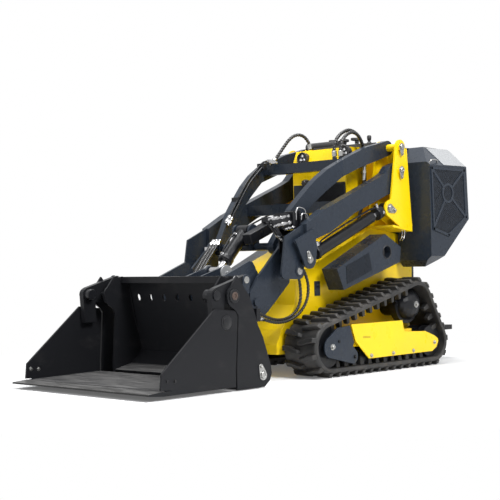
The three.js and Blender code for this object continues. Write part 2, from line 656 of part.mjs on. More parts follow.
// ---------------------------------------------------------------- bucket
const jawPinR = 18;
const sightR = 15;                 // row of sight holes near the top of the rear wall
const sightZ = 463;
const sightFrom = -362;
const sightPitch = 108;
const slotIn = bucketHalf - 114;   // inner side plate of the bucket back
function buildBucketBack() {
  const wallLine = [[-993, 62], [-873, 90], wallFoot, wallTop];
  const sheet = plate(strip(wallLine, WALL), -slotIn, slotIn);
  const holes = Array.from({ length: 6 }, (_, i) => {
    const hole = new THREE.CylinderGeometry(sightR, sightR, 200, 16).scale(1, 1, 1.35);
    return toSolid(hole.translate(sightFrom + i * sightPitch, wallTop[0] + 30, sightZ));
  });
  const wall = cut(sheet, ...holes);
  const topBeam = box(-slotIn, slotIn, -940, -880, 545, 580);
  const foot = box(-bucketHalf + 3, bucketHalf - 3, -996, -806, 6, 18);
  const footWall = plate([[-860, 9], [-803, 9], [-748, 72], [-769, 163], [-785, 160], [-765, 78],
    [-810, 21], [-860, 21]], -slotIn + 3, slotIn - 3);
  const sideOutline = [
    [-988, 582], [-903, 482], [-869, 404], [-841, 326], [-805, 262], [-770, 166], [-749, 108], [-743, 71],
    [-759, 35], [-798, 4], [-1000, 4], [-1000, 107], [-982, 379], [-1000, 405], [-1050, 440],
    ...arc(pinP, 48, 190, 120, 4),
  ];
  const innerOutline = [[-988, 582], [-884, 574], [-789, 165], ...sideOutline.slice(5)];
  const parts = [-1, 1].flatMap((side) => {
    const outer = side > 0 ? [bucketHalf - 12, bucketHalf] : [-bucketHalf, -bucketHalf + 12];
    const inner = side > 0 ? [slotIn - 12, slotIn] : [-slotIn, -slotIn + 12];
    const pin = side > 0 ? [slotIn - 10, bucketHalf] : [-bucketHalf, -slotIn + 10];
    return [plate(sideOutline, ...outer), plate(innerOutline, ...inner),
      crossBar(pinP, jawPinR, ...pin), crossBar(pinS, clamSize.pinR, ...pin)];
  });
  return join(wall, topBeam, foot, footWall, ...parts);
}
add('bucket_back', buildBucketBack(), BLACK);

function buildJaw() {
  const side = [[-1515, 47], [-1507, 126], [-1146, 420], [-1005, 405], [-990, 379], [-1009, 107],
    [-1009, 30], [-1387, 38]];
  const sides = [-1, 1].map((s) => (s > 0 ? plate(side, bucketHalf - 12, bucketHalf)
    : plate(side, -bucketHalf, -bucketHalf + 12)));
  const floor = plate([[-1595, 34], [-1595, 26], [-1500, 18], [-1009, 20], [-1009, 50], [-1200, 46],
    [-1500, 40]], -bucketHalf, bucketHalf);
  const arms = [-1, 1].map((s) => {
    const outline = [
      ...arc(pinR, 26, -60, 120, 6), [-1120, 525], ...arc([-1118, 486], 36, 110, 200, 4),
      [-1140, 330], [-1060, 330], [-1065, 440], [-1012, 441],
    ];
    const [a, b] = s > 0 ? [bucketHalf - 53, bucketHalf - 20] : [-bucketHalf + 20, -bucketHalf + 53];
    const arm = plate(outline, a, b);
    const shoe = s > 0 ? [bucketHalf - 22, bucketHalf - 10] : [-bucketHalf + 10, -bucketHalf + 22];
    return join(cut(arm, crossBar(pinP, jawPinR + PIN_CLEAR, a - 5, b + 5)),
      plate([[-1136, 334], [-1064, 334], [-1070, 400], [-1130, 400]], ...shoe));
  });
  return join(...sides, floor, ...arms);
}
add('bucket_jaw', buildJaw(), BLACK);

// ---------------------------------------------------------------- cylinders
// Barrel with its eye round a pin at p, rod with its eye at q, in the side plane at x.
function buildCylinder(p, q, x, size) {
  const { barrelR, stemR, rodR, eyeR, width, pinR, barrelFrom, barrelTo, rodFrom } = size;
  const eye = (c) => crossBar(c, eyeR, x - width / 2, x + width / 2);
  const stem = sideBar(p, q, stemR, x, 10, barrelFrom + 5);
  const tube = cut(sideBar(p, q, barrelR, x, barrelFrom, barrelTo),
    sideBar(p, q, rodR + BORE_CLEAR, x, barrelFrom + 10, barrelTo + 5));
  const barrel = cut(join(eye(p), stem, tube), crossBar(p, pinR + PIN_CLEAR, x - width, x + width));
  const rod = join(eye(q), sideBar(p, q, rodR, x, rodFrom, distance(p, q) - 8));
  return [barrel, rod];
}

const [liftBarrel, liftRod] = buildCylinder(pinK, pinL, cylX, liftSize);
addPair('lift_barrel', liftBarrel, BLACK);
addPair('lift_rod', liftRod, STEEL);
const [tiltBarrel, tiltRod] = buildCylinder(pinT, pinU, 0, tiltSize);
add('tilt_barrel', tiltBarrel, BLACK);
add('tilt_rod', tiltRod, STEEL);
const clamX = bucketHalf - 80;
const [clamBarrel, clamRod] = buildCylinder(pinS, pinR, clamX, clamSize);
addPair('clam_barrel', clamBarrel, BLACK);
addPair('clam_rod', clamRod, STEEL);

// ---------------------------------------------------------------- origin
const bounds = new THREE.Box3().setFromObject(machine);
machine.position.set(0, -(bounds.min.y + bounds.max.y) / 2, -bounds.min.z);

export default machine;
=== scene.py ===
"""Compact tracked stand-behind loader: looks, small parts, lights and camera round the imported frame.
Metres, +Z up. The machine faces -Y and its left side is +X."""
import json
from math import acos, atan2, cos, dist, hypot, radians, sin, tau

import bmesh
import bpy
from mathutils import Matrix, Vector


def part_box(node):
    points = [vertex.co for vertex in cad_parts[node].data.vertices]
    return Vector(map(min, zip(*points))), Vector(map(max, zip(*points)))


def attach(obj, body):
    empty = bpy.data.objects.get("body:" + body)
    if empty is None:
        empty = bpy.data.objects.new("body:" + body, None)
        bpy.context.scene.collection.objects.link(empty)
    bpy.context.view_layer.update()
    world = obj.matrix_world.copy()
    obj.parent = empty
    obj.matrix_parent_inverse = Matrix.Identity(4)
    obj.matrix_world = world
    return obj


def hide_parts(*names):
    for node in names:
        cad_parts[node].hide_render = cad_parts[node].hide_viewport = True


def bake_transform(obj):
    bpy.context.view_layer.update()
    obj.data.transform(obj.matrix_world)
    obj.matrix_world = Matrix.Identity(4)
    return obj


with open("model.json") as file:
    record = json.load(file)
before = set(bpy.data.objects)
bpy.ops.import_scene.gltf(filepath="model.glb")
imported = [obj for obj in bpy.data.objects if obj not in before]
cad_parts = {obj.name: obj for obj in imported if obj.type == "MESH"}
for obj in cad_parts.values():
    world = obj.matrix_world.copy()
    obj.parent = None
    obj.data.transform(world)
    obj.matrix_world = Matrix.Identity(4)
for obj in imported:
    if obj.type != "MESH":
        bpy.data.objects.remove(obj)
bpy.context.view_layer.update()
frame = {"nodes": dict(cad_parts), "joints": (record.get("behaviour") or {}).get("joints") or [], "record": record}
NODES = frame["nodes"]
JOINTS = {joint["name"]: joint for joint in frame["joints"]}


def placed(name, data):
    """A new object in the scene."""
    made = bpy.data.objects.new(name, data)
    bpy.context.scene.collection.objects.link(made)
    return made


# ---------------- camera
# A long lens a little above the bucket, ahead of the machine's left front corner.
CAMERA_AT = Vector((4.8721, -5.1721, 0.662))
CAMERA_RIGHT = Vector((0.71749, 0.6963, -0.01932))
CAMERA_UP = Vector((0.01954, 0.0076, 0.99978))
CAMERA_BACK = Vector((0.69629, -0.71771, -0.00816))
SENSOR_MM = 36.0
LENS_MM = 87.17


def make_camera():
    data = bpy.data.cameras.new("camera")
    data.sensor_width = SENSOR_MM
    data.lens = LENS_MM
    data.clip_end = 60.0
    camera = placed("camera", data)
    rotation = Matrix((CAMERA_RIGHT, CAMERA_UP, CAMERA_BACK)).transposed()
    camera.matrix_world = Matrix.Translation(CAMERA_AT) @ rotation.to_4x4()
    bpy.context.scene.camera = camera


make_camera()


# ---------------- places taken from the frame
def pivot(name):
    return Vector(JOINTS[name]["pos_m"])


PIN_A = pivot("link_hinge")
PIN_B = pivot("lift")
PIN_D = pivot("leg_hinge")
PIN_E = pivot("bucket_tilt")
PIN_P = pivot("jaw_open")
PIN_K = pivot("lift_barrel_left_hinge")
PIN_T = pivot("tilt_barrel_hinge")
PIN_S = pivot("clam_barrel_left_hinge")
DATUM_Y = PIN_D.y + 0.345       # the routes and outlines below are measured from here


def spot(x, y, z):
    return Vector((x, y + DATUM_Y, z))


def box_side(node, side=1):
    """The node's outermost x on one side."""
    low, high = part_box(node)
    return max(side * low[0], side * high[0])


ROD_EYE_R = 0.034
TILT_EYE_RISE = 0.162         # the tilt rod's eye above the bucket's tilt pin
CLAM_EYE_R = 0.026
CLAM_PIN = (-0.903, 0.56)      # on the jaw
PIN_L = Vector((0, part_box("lift_rod_left")[1][1] - ROD_EYE_R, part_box("lift_rod_left")[1][2] - ROD_EYE_R))
TOWER_X = box_side("tower_left")
POD_X = box_side("side_pod_left")
BOX_X = box_side("side_box_left")
COVER_X = box_side("track_cover_left")
ARM_X = box_side("lift_arm_left")
BUCKET_X = box_side("bucket_back")
CONSOLE_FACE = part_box("console")[0][1]


def across(side):
    return Vector((side, 0, 0))


def both_sides(*makers):
    """Runs each maker for the machine's left side, then its right."""
    for side, word in ((1, "left"), (-1, "right")):
        for make in makers:
            make(side, word)


def spots(outline, x):
    """Places on the side plane at x, from (y, z) pairs."""
    return [spot(x, y, z) for y, z in outline]


def places(*points):
    return [spot(*p) for p in points]


def at_x(x, pin):
    return Vector((x, pin.y, pin.z))


# ---------------- mesh tools
SHARP_ANGLE = radians(35)       # edges sharper than this are rounded
MESH_TURN = radians(58)         # slope of a grille's wires
SHORTEST_WIRE = 0.004


def frames_along(points):
    """A tangent, side and up direction at each point, turned as little as possible from one to the next."""
    tangents = []
    for i in range(len(points)):
        ahead = points[min(i + 1, len(points) - 1)]
        behind = points[max(i - 1, 0)]
        tangents.append((ahead - behind).normalized())
    side = tangents[0].orthogonal().normalized()
    frames = []
    for tangent in tangents:
        side = (side - tangent * side.dot(tangent)).normalized()
        frames.append((tangent, side, tangent.cross(side)))
    return frames


def smooth_path(points, spacing):
    """Points about that far apart on a centripetal Catmull-Rom curve."""
    padded = [2 * points[0] - points[1], *points, 2 * points[-1] - points[-2]]
    path = []
    for p0, p1, p2, p3 in zip(padded, padded[1:], padded[2:], padded[3:]):
        t0 = 0.0
        t1 = (p1 - p0).length ** 0.5
        t2 = t1 + (p2 - p1).length ** 0.5
        t3 = t2 + (p3 - p2).length ** 0.5
        count = max(1, round((p2 - p1).length / spacing))
        for step in range(count):
            t = t1 + (t2 - t1) * step / count
            a1 = p0.lerp(p1, (t - t0) / (t1 - t0))
            a2 = p1.lerp(p2, (t - t1) / (t2 - t1))
            a3 = p2.lerp(p3, (t - t2) / (t3 - t2))
            b1 = a1.lerp(a2, (t - t0) / (t2 - t0))
            b2 = a2.lerp(a3, (t - t1) / (t3 - t1))
            path.append(b1.lerp(b2, (t - t1) / (t2 - t1)))
    path.append(points[-1].copy())
    return path


def around(corners):
    """Each corner with the next, back to the first."""
    return zip(corners, corners[1:] + corners[:1])


def round_edges(made, width):
    bevel = made.modifiers.new("edge", "BEVEL")
    bevel.width = width
    bevel.segments = 2
    bevel.limit_method = "ANGLE"
    bevel.angle_limit = SHARP_ANGLE


def circle(middle, side, up, radius, sides):
    turns = (tau * i / sides for i in range(sides))
    return [middle + (side * cos(turn) + up * sin(turn)) * radius for turn in turns]


class Piece:
    """Collects solids into one mesh object, made by done()."""

    def __init__(self, name):
        self.name = name
        self.mesh = bmesh.new()

    def skin(self, rings, closed=False):
        """Joins rings of points into a tube, capped unless it closes on itself."""
        made = [[self.mesh.verts.new(point) for point in ring] for ring in rings]
        for a, b in around(made) if closed else zip(made, made[1:]):
            for i in range(len(a)):
                j = (i + 1) % len(a)
                self.mesh.faces.new((a[i], a[j], b[j], b[i]))
        if not closed:
            self.mesh.faces.new(made[0][::-1])
            self.mesh.faces.new(made[-1])

    def lathe(self, start, direction, profile, sides=24):
        """A turned solid: profile is a list of (distance along, radius)."""
        axis = Vector(direction).normalized()
        side = axis.orthogonal().normalized()
        up = axis.cross(side)
        self.skin([circle(start + axis * along, side, up, radius, sides) for along, radius in profile])

    def plate(self, outline, x0, x1):
        """A side outline of (y, z) points from the datum, extruded across the machine."""
        self.skin([spots(outline, x) for x in (x0, x1)])

    def block(self, low, high):
        corners = [(low[1], low[2]), (high[1], low[2]), (high[1], high[2]), (low[1], high[2])]
        self.skin([[Vector((x, y, z)) for y, z in corners] for x in (low[0], high[0])])

    def tube(self, points, radius, sides):
        self.skin([circle(point, side, up, radius, sides)
                   for point, (_, side, up) in zip(points, frames_along(points))])

    def pipe(self, points, spacing, radius, sides=10):
        """A tube on a smooth path through a few points."""
        self.tube(smooth_path(points, spacing), radius, sides)

    def disc(self, start, direction, sides, radius, thick, *top):
        """A plain turned solid, or a hexagon; top goes on with its profile."""
        self.lathe(start, direction, [(0, radius), (thick, radius), *top], sides)

    def ring(self, middle, axis, radius, thick, sides):
        """A round ring of round bar."""
        axis = Vector(axis).normalized()
        side = axis.orthogonal().normalized()
        up = axis.cross(side)
        rings = []
        for i in range(sides):
            turn = tau * i / sides
            out = side * cos(turn) + up * sin(turn)
            rings.append(circle(middle + out * radius, out, axis, thick, 8))
        self.skin(rings, closed=True)

    def bolt(self, at, direction, size):
        """A washer and a hexagonal head; size is the head's width across its corners."""
        r = size / 2
        self.lathe(at, direction, [(0, r * 1.3), (r * 0.16, r * 1.35), (r * 0.22, r * 1.2)], 20)
        self.disc(at + Vector(direction).normalized() * r * 0.2, direction, 6, r, r * 0.7, (r * 0.9, r * 0.8))

    def weld(self, points, radius):
        """A rippled weld bead along a line of points."""
        rings = []
        path = smooth_path(points, radius * 0.8)
        for i, (point, (_, side, up)) in enumerate(zip(path, frames_along(path))):
            ripple = 1.0 + 0.16 * sin(i * 1.9)
            rings.append(circle(point, side, up, radius * ripple, 6))
        self.skin(rings)

    def mesh_panel(self, corners, pitch, wire, thick):
        """Crossed wires clipped to a flat convex outline of 3-D corners."""
        middle = sum(corners, Vector()) / len(corners)
        side = (corners[1] - corners[0]).normalized()
        normal = (corners[1] - corners[0]).cross(corners[2] - corners[1]).normalized()
        up = normal.cross(side)
        flat = [((c - middle).dot(side), (c - middle).dot(up)) for c in corners]
        reach = max(hypot(*p) for p in flat)
        for turn in (MESH_TURN, -MESH_TURN):
            run = (cos(turn), sin(turn))
            for k in range(-int(reach / pitch), int(reach / pitch) + 1):
                span = clip((-run[1] * k * pitch, run[0] * k * pitch), run, flat)
                if span:
                    self.strip(*(middle + side * x + up * y for x, y in span), normal, wire, thick)

    def strip(self, a, b, normal, wide, thick):
        """A flat bar from a to b."""
        out = (b - a).normalized().cross(normal).normalized() * wide / 2
        lift = normal * thick / 2
        self.skin([[p + out + lift, p + out - lift, p - out - lift, p - out + lift] for p in (a, b)])

    def done(self, material, body="machine", bevel=0.0, smooth=40):
        """Makes the object, which rides on a body when one is given."""
        bmesh.ops.recalc_face_normals(self.mesh, faces=self.mesh.faces)
        data = bpy.data.meshes.new(self.name)
        self.mesh.to_mesh(data)
        self.mesh.free()
        data.polygons.foreach_set("use_smooth", [True] * len(data.polygons))
        data.set_sharp_from_angle(angle=radians(smooth))
        made = placed(self.name, data)
        made.data.materials.append(material)
        if bevel:
            round_edges(made, bevel)
        if body:
            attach(made, body)
        return made


def clip(point, run, outline):
    """The stretch of a line inside a convex outline, or None."""
    low, high = -1e9, 1e9
    area = sum(a[0] * b[1] - a[1] * b[0] for a, b in around(outline))
    turn = 1 if area > 0 else -1
    for a, b in around(outline):
        inward = (-(b[1] - a[1]) * turn, (b[0] - a[0]) * turn)
        rate = inward[0] * run[0] + inward[1] * run[1]
        depth = inward[0] * (point[0] - a[0]) + inward[1] * (point[1] - a[1])
        if abs(rate) < 1e-9:
            if depth < 0:
                return None
            continue
        if rate > 0:
            low = max(low, -depth / rate)
        else:
            high = min(high, -depth / rate)
    if high - low < SHORTEST_WIRE:
        return None
    return [(point[0] + run[0] * t, point[1] + run[1] * t) for t in (low, high)]


# ---------------- materials
COAT_ROUGHNESS = 0.15
PEEL_DEPTH = 0.00012            # orange peel of sprayed paint
RUBBER_DEPTH = 0.0004
GRAIN_DEPTH = 0.0003            # grain of moulded plastic
EDGE_WIDTH = 0.0025             # rounding of the frame's edges


class Graph:
    """Short calls for building the node tree of one material, or of the world."""

    def __init__(self, name, kinds=bpy.data.materials, output="Material"):
        self.material = kinds.new(name)
        self.material.use_nodes = True
        self.tree = self.material.node_tree
        self.tree.nodes.clear()
        self.output = self.tree.nodes.new("ShaderNodeOutput" + output)

    def node(self, kind, inputs=(), **settings):
        """The outputs of a new node; inputs pairs a socket's name with a plain value or with the output
        that feeds it."""
        made = self.tree.nodes.new("ShaderNode" + kind)
        for key, value in settings.items():
            setattr(made, key, value)
        for name, value in inputs:
            socket = made.inputs[name]
            if isinstance(value, bpy.types.NodeSocket):
                self.tree.links.new(value, socket)
            elif socket.type == "RGBA":
                socket.default_value = (*value, 1.0)
            else:
                socket.default_value = value
        return made.outputs

    def noise(self, scale, detail=6.0, stretch=(1.0, 1.0, 1.0), roughness=0.55):
        place = self.node("TexCoord")["Object"]
        place = self.node("Mapping", [("Scale", stretch), ("Vector", place)])["Vector"]
        return self.node("TexNoise", [("Scale", scale), ("Detail", detail), ("Roughness", roughness),
                                      ("Vector", place)])["Fac"]

    def ramp(self, source, low, high, low_value=0.0, high_value=1.0):
        return self.node("MapRange", [("From Min", low), ("From Max", high), ("To Min", low_value),
                                      ("To Max", high_value), ("Value", source)])["Result"]

    def mix(self, factor, first, second):
        return self.node("Mix", [("Factor", factor), ("A", first), ("B", second)], data_type="RGBA")["Result"]

    def math(self, operation, first, second):
        return self.node("Math", [(0, first), (1, second)], operation=operation)["Value"]

    def multiply(self, first, second):
        return self.math("MULTIPLY", first, second)

    def upright(self, output):
        """The z part of the object's own coordinates ("Object") or normal ("Normal"), so that it stays
        with the piece when it moves."""
        return self.node("SeparateXYZ", [("Vector", self.node("TexCoord")[output])])["Z"]

    def shown_ray(self):
        """1 for rays that the eye, a mirror or glass sends out."""
        path = self.node("LightPath")
        shown = self.math("MAXIMUM", path["Is Camera Ray"], path["Is Glossy Ray"])
        return self.math("MAXIMUM", shown, path["Is Transmission Ray"])

    def show(self, shader):
        self.tree.links.new(shader, self.output.inputs["Surface"])
        return self.material

    def finish(self, color, roughness, metallic=0.0, bump=None, bump_depth=0.0, coat=0.0, specular=0.5):
        inputs = [("Base Color", color), ("Roughness", roughness), ("Metallic", metallic),
                  ("Specular IOR Level", specular), ("Coat Weight", coat), ("Coat Roughness", COAT_ROUGHNESS)]
        if bump is not None:
            normal = self.node("Bump", [("Distance", bump_depth), ("Height", bump)])["Normal"]
            inputs.append(("Normal", normal))
        return self.show(self.node("BsdfPrincipled", inputs)["BSDF"])


def paint(name, color, dusty, roughness, dust_amount, coat=0.3, specular=0.5):
    """Machine paint: slow colour drift, dust that thickens near the ground, and faint rubbed marks."""
    g = Graph(name)
    drift = g.ramp(g.noise(2.3, 3.0), 0.3, 0.7)
    darker = tuple(c * 0.9 for c in color)
    base = g.mix(drift, darker, color)
    blotch = g.ramp(g.noise(5.0, 9.0), 0.45, 0.8)
    low = g.ramp(g.upright("Object"), 1.1, 0.0)
    base = g.mix(g.multiply(g.multiply(blotch, low), dust_amount), base, dusty)
    rubbed = g.ramp(g.noise(30.0, 2.0, (1.0, 0.15, 1.0)), 0.62, 0.78)
    base = g.mix(g.multiply(rubbed, dust_amount * 0.3), base, dusty)
    gloss = g.ramp(g.noise(14.0, 5.0), 0.3, 0.7, roughness - 0.05, roughness + 0.1)
    peel = g.noise(260.0, 2.0)
    return g.finish(base, gloss, bump=peel, bump_depth=PEEL_DEPTH, coat=coat, specular=specular)


def plain_metal(name, color, roughness):
    """Bare or plated metal with a fine variation."""
    g = Graph(name)
    streak = g.ramp(g.noise(60.0, 5.0), 0.3, 0.7)
    darker = tuple(c * 0.72 for c in color)
    gloss = g.ramp(g.noise(36.0, 3.0), 0.3, 0.7, roughness - 0.06, roughness + 0.1)
    return g.finish(g.mix(streak, darker, color), gloss, 1.0)


def rubber(name, color, dusty, amount, roughness):
    """Dull rubber with a dusty bloom."""
    g = Graph(name)
    bloom = g.multiply(g.ramp(g.noise(11.0, 7.0), 0.42, 0.75), amount)
    return g.finish(g.mix(bloom, color, dusty), roughness, bump=g.noise(120.0, 3.0), bump_depth=RUBBER_DEPTH)


def plastic(name, color, roughness):
    """Grained moulded plastic."""
    g = Graph(name)
    drift = g.ramp(g.noise(6.0, 3.0), 0.3, 0.7)
    base = g.mix(drift, tuple(c * 0.85 for c in color), color)
    return g.finish(base, roughness, bump=g.noise(420.0, 2.0), bump_depth=GRAIN_DEPTH)


def scraped_metal(name, color, height_span, scale=22.0):
    """Black paint that earth has scraped to bare streaks where the surface faces up, low in the bucket."""
    g = Graph(name)
    flat = g.ramp(g.upright("Normal"), 0.8, 0.97)
    low = g.ramp(g.upright("Object"), *height_span)
    streaks = g.noise(scale, 8.0, (0.16, 2.2, 1.0), 0.75)
    worn = g.multiply(g.multiply(flat, low), g.ramp(streaks, 0.42, 0.62, 0.16, 1.0))
    scuffed = g.multiply(g.ramp(g.noise(7.0, 9.0, (1.0, 0.5, 1.0), 0.65), 0.56, 0.8), 0.16)
    base = g.mix(scuffed, color, (0.1, 0.095, 0.09))
    base = g.mix(worn, base, (0.15, 0.148, 0.146))
    gloss = g.ramp(worn, 0.0, 1.0, 0.33, 0.5)
    return g.finish(base, gloss, bump=g.noise(240.0, 2.0), bump_depth=PEEL_DEPTH, specular=0.13)


YELLOW = paint("yellow_paint", (0.95, 0.645, 0.002), (0.45, 0.33, 0.16), 0.3, 0.15, 0.12, 0.35)
SLATE = paint("slate_paint", (0.021, 0.028, 0.04), (0.13, 0.125, 0.12), 0.26, 0.05, 0.03, 0.2)
BLACK = paint("black_paint", (0.0085, 0.0092, 0.0115), (0.09, 0.085, 0.078), 0.3, 0.14, 0.02, 0.24)
IRON = paint("engine_iron", (0.02, 0.02, 0.02), (0.1, 0.09, 0.08), 0.5, 0.3)
RUST = paint("weathered_bolt", (0.045, 0.026, 0.02), (0.16, 0.1, 0.07), 0.5, 0.5, 0.0)
# Painted light: on the pod's lid this pale grey stands for light falling on slate paint; the tilt pin's heads are
# grey of their own.
GREY_PIN_AND_LIT_LID = paint("grey_pin_and_lit_lid", (0.3, 0.31, 0.32), (0.22, 0.21, 0.2), 0.22, 0.15)
SHADOW = paint("shadow_black", (0.004, 0.004, 0.0045), (0.02, 0.02, 0.02), 0.7, 0.1, 0.0)
TRACK = rubber("track_rubber", (0.013, 0.0128, 0.0128), (0.14, 0.125, 0.11), 0.28, 0.55)
HOSE = rubber("hose_rubber", (0.008, 0.008, 0.009), (0.04, 0.04, 0.04), 0.3, 0.28)
PLASTIC = plastic("black_plastic", (0.02, 0.02, 0.022), 0.45)
STEEL = plain_metal("bright_steel", (0.5, 0.5, 0.51), 0.2)
ZINC = plain_metal("zinc_plate", (0.42, 0.42, 0.41), 0.28)
BUCKET = scraped_metal("bucket_paint", (0.0125, 0.013, 0.015), (0.16, 0.09))
EDGE_STEEL = scraped_metal("worn_lip", (0.02, 0.02, 0.02), (0.3, 0.2), 34.0)

SLOT_MATERIALS = {
    "yellow_paint": YELLOW, "slate_paint": SLATE, "black_paint": BLACK, "engine_iron": IRON,
    "track_rubber": TRACK, "black_plastic": PLASTIC, "bright_steel": STEEL, "hose_rubber": HOSE,
}
SLOT_OF = {material: slot for slot, material in SLOT_MATERIALS.items()}
SLOT_OF.update({ZINC: "bright_steel", EDGE_STEEL: "bright_steel", SHADOW: "black_paint", RUST: "black_paint"})


def dress_frame():
    """Gives every CAD node its finish and a small rounded edge."""
    for entry in frame["record"]["subparts"]:
        node = NODES[entry["node"]]
        node.data.materials.clear()
        bucket = entry["node"].startswith("bucket_")
        node.data.materials.append(BUCKET if bucket else SLOT_MATERIALS[entry["material_slot"]])
        round_edges(node, EDGE_WIDTH)


dress_frame()


# ---------------- hoses
LOADER_HOSE = 0.018
ARCH_HOSE = 0.022
LOADER_ROUTES = [
    spots([
        (-0.406, 0.78), (-0.364, 0.741), (-0.318, 0.682), (-0.279, 0.612), (-0.255, 0.545), (-0.244, 0.484),
        (-0.248, 0.43), (-0.274, 0.382), (-0.32, 0.348), (-0.378, 0.33), (-0.444, 0.328), (-0.506, 0.341),
        (-0.563, 0.36), (-0.618, 0.38),
    ], 0.315),
    spots([
        (-0.419, 0.774), (-0.372, 0.72), (-0.312, 0.664), (-0.262, 0.614), (-0.228, 0.562), (-0.212, 0.5),
        (-0.226, 0.432), (-0.272, 0.374), (-0.337, 0.337), (-0.407, 0.318), (-0.477, 0.315), (-0.548, 0.327),
        (-0.618, 0.346),
    ], 0.345),
]
ARCH_ROUTES = {
    "left_1": places(
        (0.25, 0.154, 1.262), (0.25, 0.15, 1.306), (0.25, 0.169, 1.36), (0.249, 0.221, 1.405),
        (0.246, 0.3, 1.43), (0.242, 0.378, 1.41), (0.238, 0.424, 1.366), (0.235, 0.441, 1.315),
        (0.235, 0.442, 1.262)),
    "left_2": places(
        (0.285, 0.17, 1.262), (0.285, 0.168, 1.3), (0.284, 0.184, 1.35), (0.281, 0.226, 1.392),
        (0.277, 0.29, 1.414), (0.273, 0.35, 1.398), (0.269, 0.39, 1.356), (0.268, 0.407, 1.308),
        (0.268, 0.408, 1.262)),
    "right": places(
        (-0.272, 0.172, 1.264), (-0.269, 0.2, 1.29), (-0.263, 0.23, 1.324), (-0.254, 0.264, 1.368),
        (-0.244, 0.302, 1.412), (-0.236, 0.34, 1.438), (-0.226, 0.378, 1.446), (-0.215, 0.414, 1.434),
        (-0.205, 0.438, 1.404), (-0.198, 0.446, 1.37), (-0.196, 0.447, 1.352)),
}
WRAP_PITCH = 0.019
WRAP_DEPTH = 0.003
HOSE_SIDES = 14


def wrapped_hose(name, points, diameter, node, body):
    """A hydraulic hose in a spiral plastic wrap."""
    path = smooth_path(points, WRAP_PITCH / 5)
    rings = []
    run = 0.0
    last = path[0]
    for point, (_, side, up) in zip(path, frames_along(path)):
        run += (point - last).length
        last = point
        ring = []
        for i in range(HOSE_SIDES):
            share = i / HOSE_SIDES
            turn = tau * share
            groove = 0.5 + 0.5 * cos(tau * (share - run / WRAP_PITCH))
            radius = diameter / 2 - WRAP_DEPTH * groove ** 3
            ring.append(point + (side * cos(turn) + up * sin(turn)) * radius)
        rings.append(ring)
    piece = Piece(name)
    piece.skin(rings)
    made = piece.done(HOSE, body, smooth=50)
    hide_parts(node)
    return made


def make_hoses():
    for i, points in enumerate(LOADER_ROUTES, 1):
        wrapped_hose(f"loader_hose_{i}", points, LOADER_HOSE, f"hose_loader_{i}", "leg")
    for word, points in ARCH_ROUTES.items():
        hose = wrapped_hose(f"arch_hose_{word}", points, ARCH_HOSE, f"hose_arch_{word}", None)
        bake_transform(hose)


make_hoses()


# ---------------- tracks
BELT_THICK = 0.028
LUG_HIGH = 0.022
LUG_PITCH = 0.072
WHEEL_GAP = 0.0003


def wheel_of(node):
    """Centre (y, z) and radius of a track wheel, from its box."""
    low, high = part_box(node)
    return ((low[1] + high[1]) / 2, (low[2] + high[2]) / 2), (high[2] - low[2]) / 2 + WHEEL_GAP


def belt_line(wheels, step):
    """A closed line round the wheels, one point each step, as (y, z) with its outward direction."""
    turns = []
    for i, (c, r) in enumerate(wheels):
        (d, q) = wheels[(i + 1) % len(wheels)]
        gap = dist(c, d)
        turns.append(atan2(d[1] - c[1], d[0] - c[0]) - acos((r - q) / gap))
    raw = []
    for i, (c, r) in enumerate(wheels):
        start, end = turns[i - 1], turns[i]
        while end < start:
            end += tau
        count = max(2, round((end - start) * r / 0.004))
        for k in range(count + 1):
            a = start + (end - start) * k / count
            raw.append((c[0] + r * cos(a), c[1] + r * sin(a)))
    lengths = [dist(a, b) for a, b in around(raw)]
    total = sum(lengths)
    count = round(total / step)
    line = []
    i, passed = 0, 0.0
    for n in range(count):
        target = total * n / count
        while passed + lengths[i] < target:
            passed += lengths[i]
            i += 1
        a, b = raw[i], raw[(i + 1) % len(raw)]
        t = (target - passed) / lengths[i]
        run = ((b[0] - a[0]) / lengths[i], (b[1] - a[1]) / lengths[i])
        line.append(((a[0] + (b[0] - a[0]) * t, a[1] + (b[1] - a[1]) * t), (run[1], -run[0])))
    return line, total


# Half of a tread lug in plan: (share of the track's width, share of the lug pitch)
LUG_HALF = [(0.0, -0.24), (0.0, 0.08), (0.17, 0.13), (0.34, 0.25), (0.54, 0.28), (0.54, 0.04),
            (0.4, -0.02), (0.22, -0.21)]
LUG_TOP = 0.8          # size of a lug's top face against its foot


def make_track(side, word):
    """A moulded belt round the wheels, in place of the frame's plain track."""
    low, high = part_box(f"track_{word}")
    wide = high[0] - low[0]
    wheels = [wheel_of(f"{n}_{word}") for n in ("front_idler", "rear_idler", "drive_sprocket")]
    line, total = belt_line(wheels, LUG_PITCH / 6)
    belt = Piece(f"track_belt_{word}")
    section = [(0.0, 0.004), (0.004, 0.0), (wide - 0.004, 0.0), (wide, 0.004), (wide, 0.019),
               (wide - 0.01, BELT_THICK), (0.01, BELT_THICK), (0.0, 0.019)]
    belt.skin([[Vector((low[0] + x, p[0] + n[0] * h, p[1] + n[1] * h)) for x, h in section]
               for p, n in line], closed=True)
    add_lugs(belt, line, total, low[0], wide)
    add_drive_teeth(belt, line, total, low[0] + wide / 2 + side * 0.066, wheels)
    made = belt.done(TRACK, bevel=0.003, smooth=35)
    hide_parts(f"track_{word}")


def point_on(line, total, run, height, x):
    share = (run / total) % 1.0 * len(line)
    i = int(share)
    (p, n), (q, m) = line[i % len(line)], line[(i + 1) % len(line)]
    t = share - i
    out = (n[0] * (1 - t) + m[0] * t, n[1] * (1 - t) + m[1] * t)
    return Vector((x, p[0] + (q[0] - p[0]) * t + out[0] * height, p[1] + (q[1] - p[1]) * t + out[1] * height))


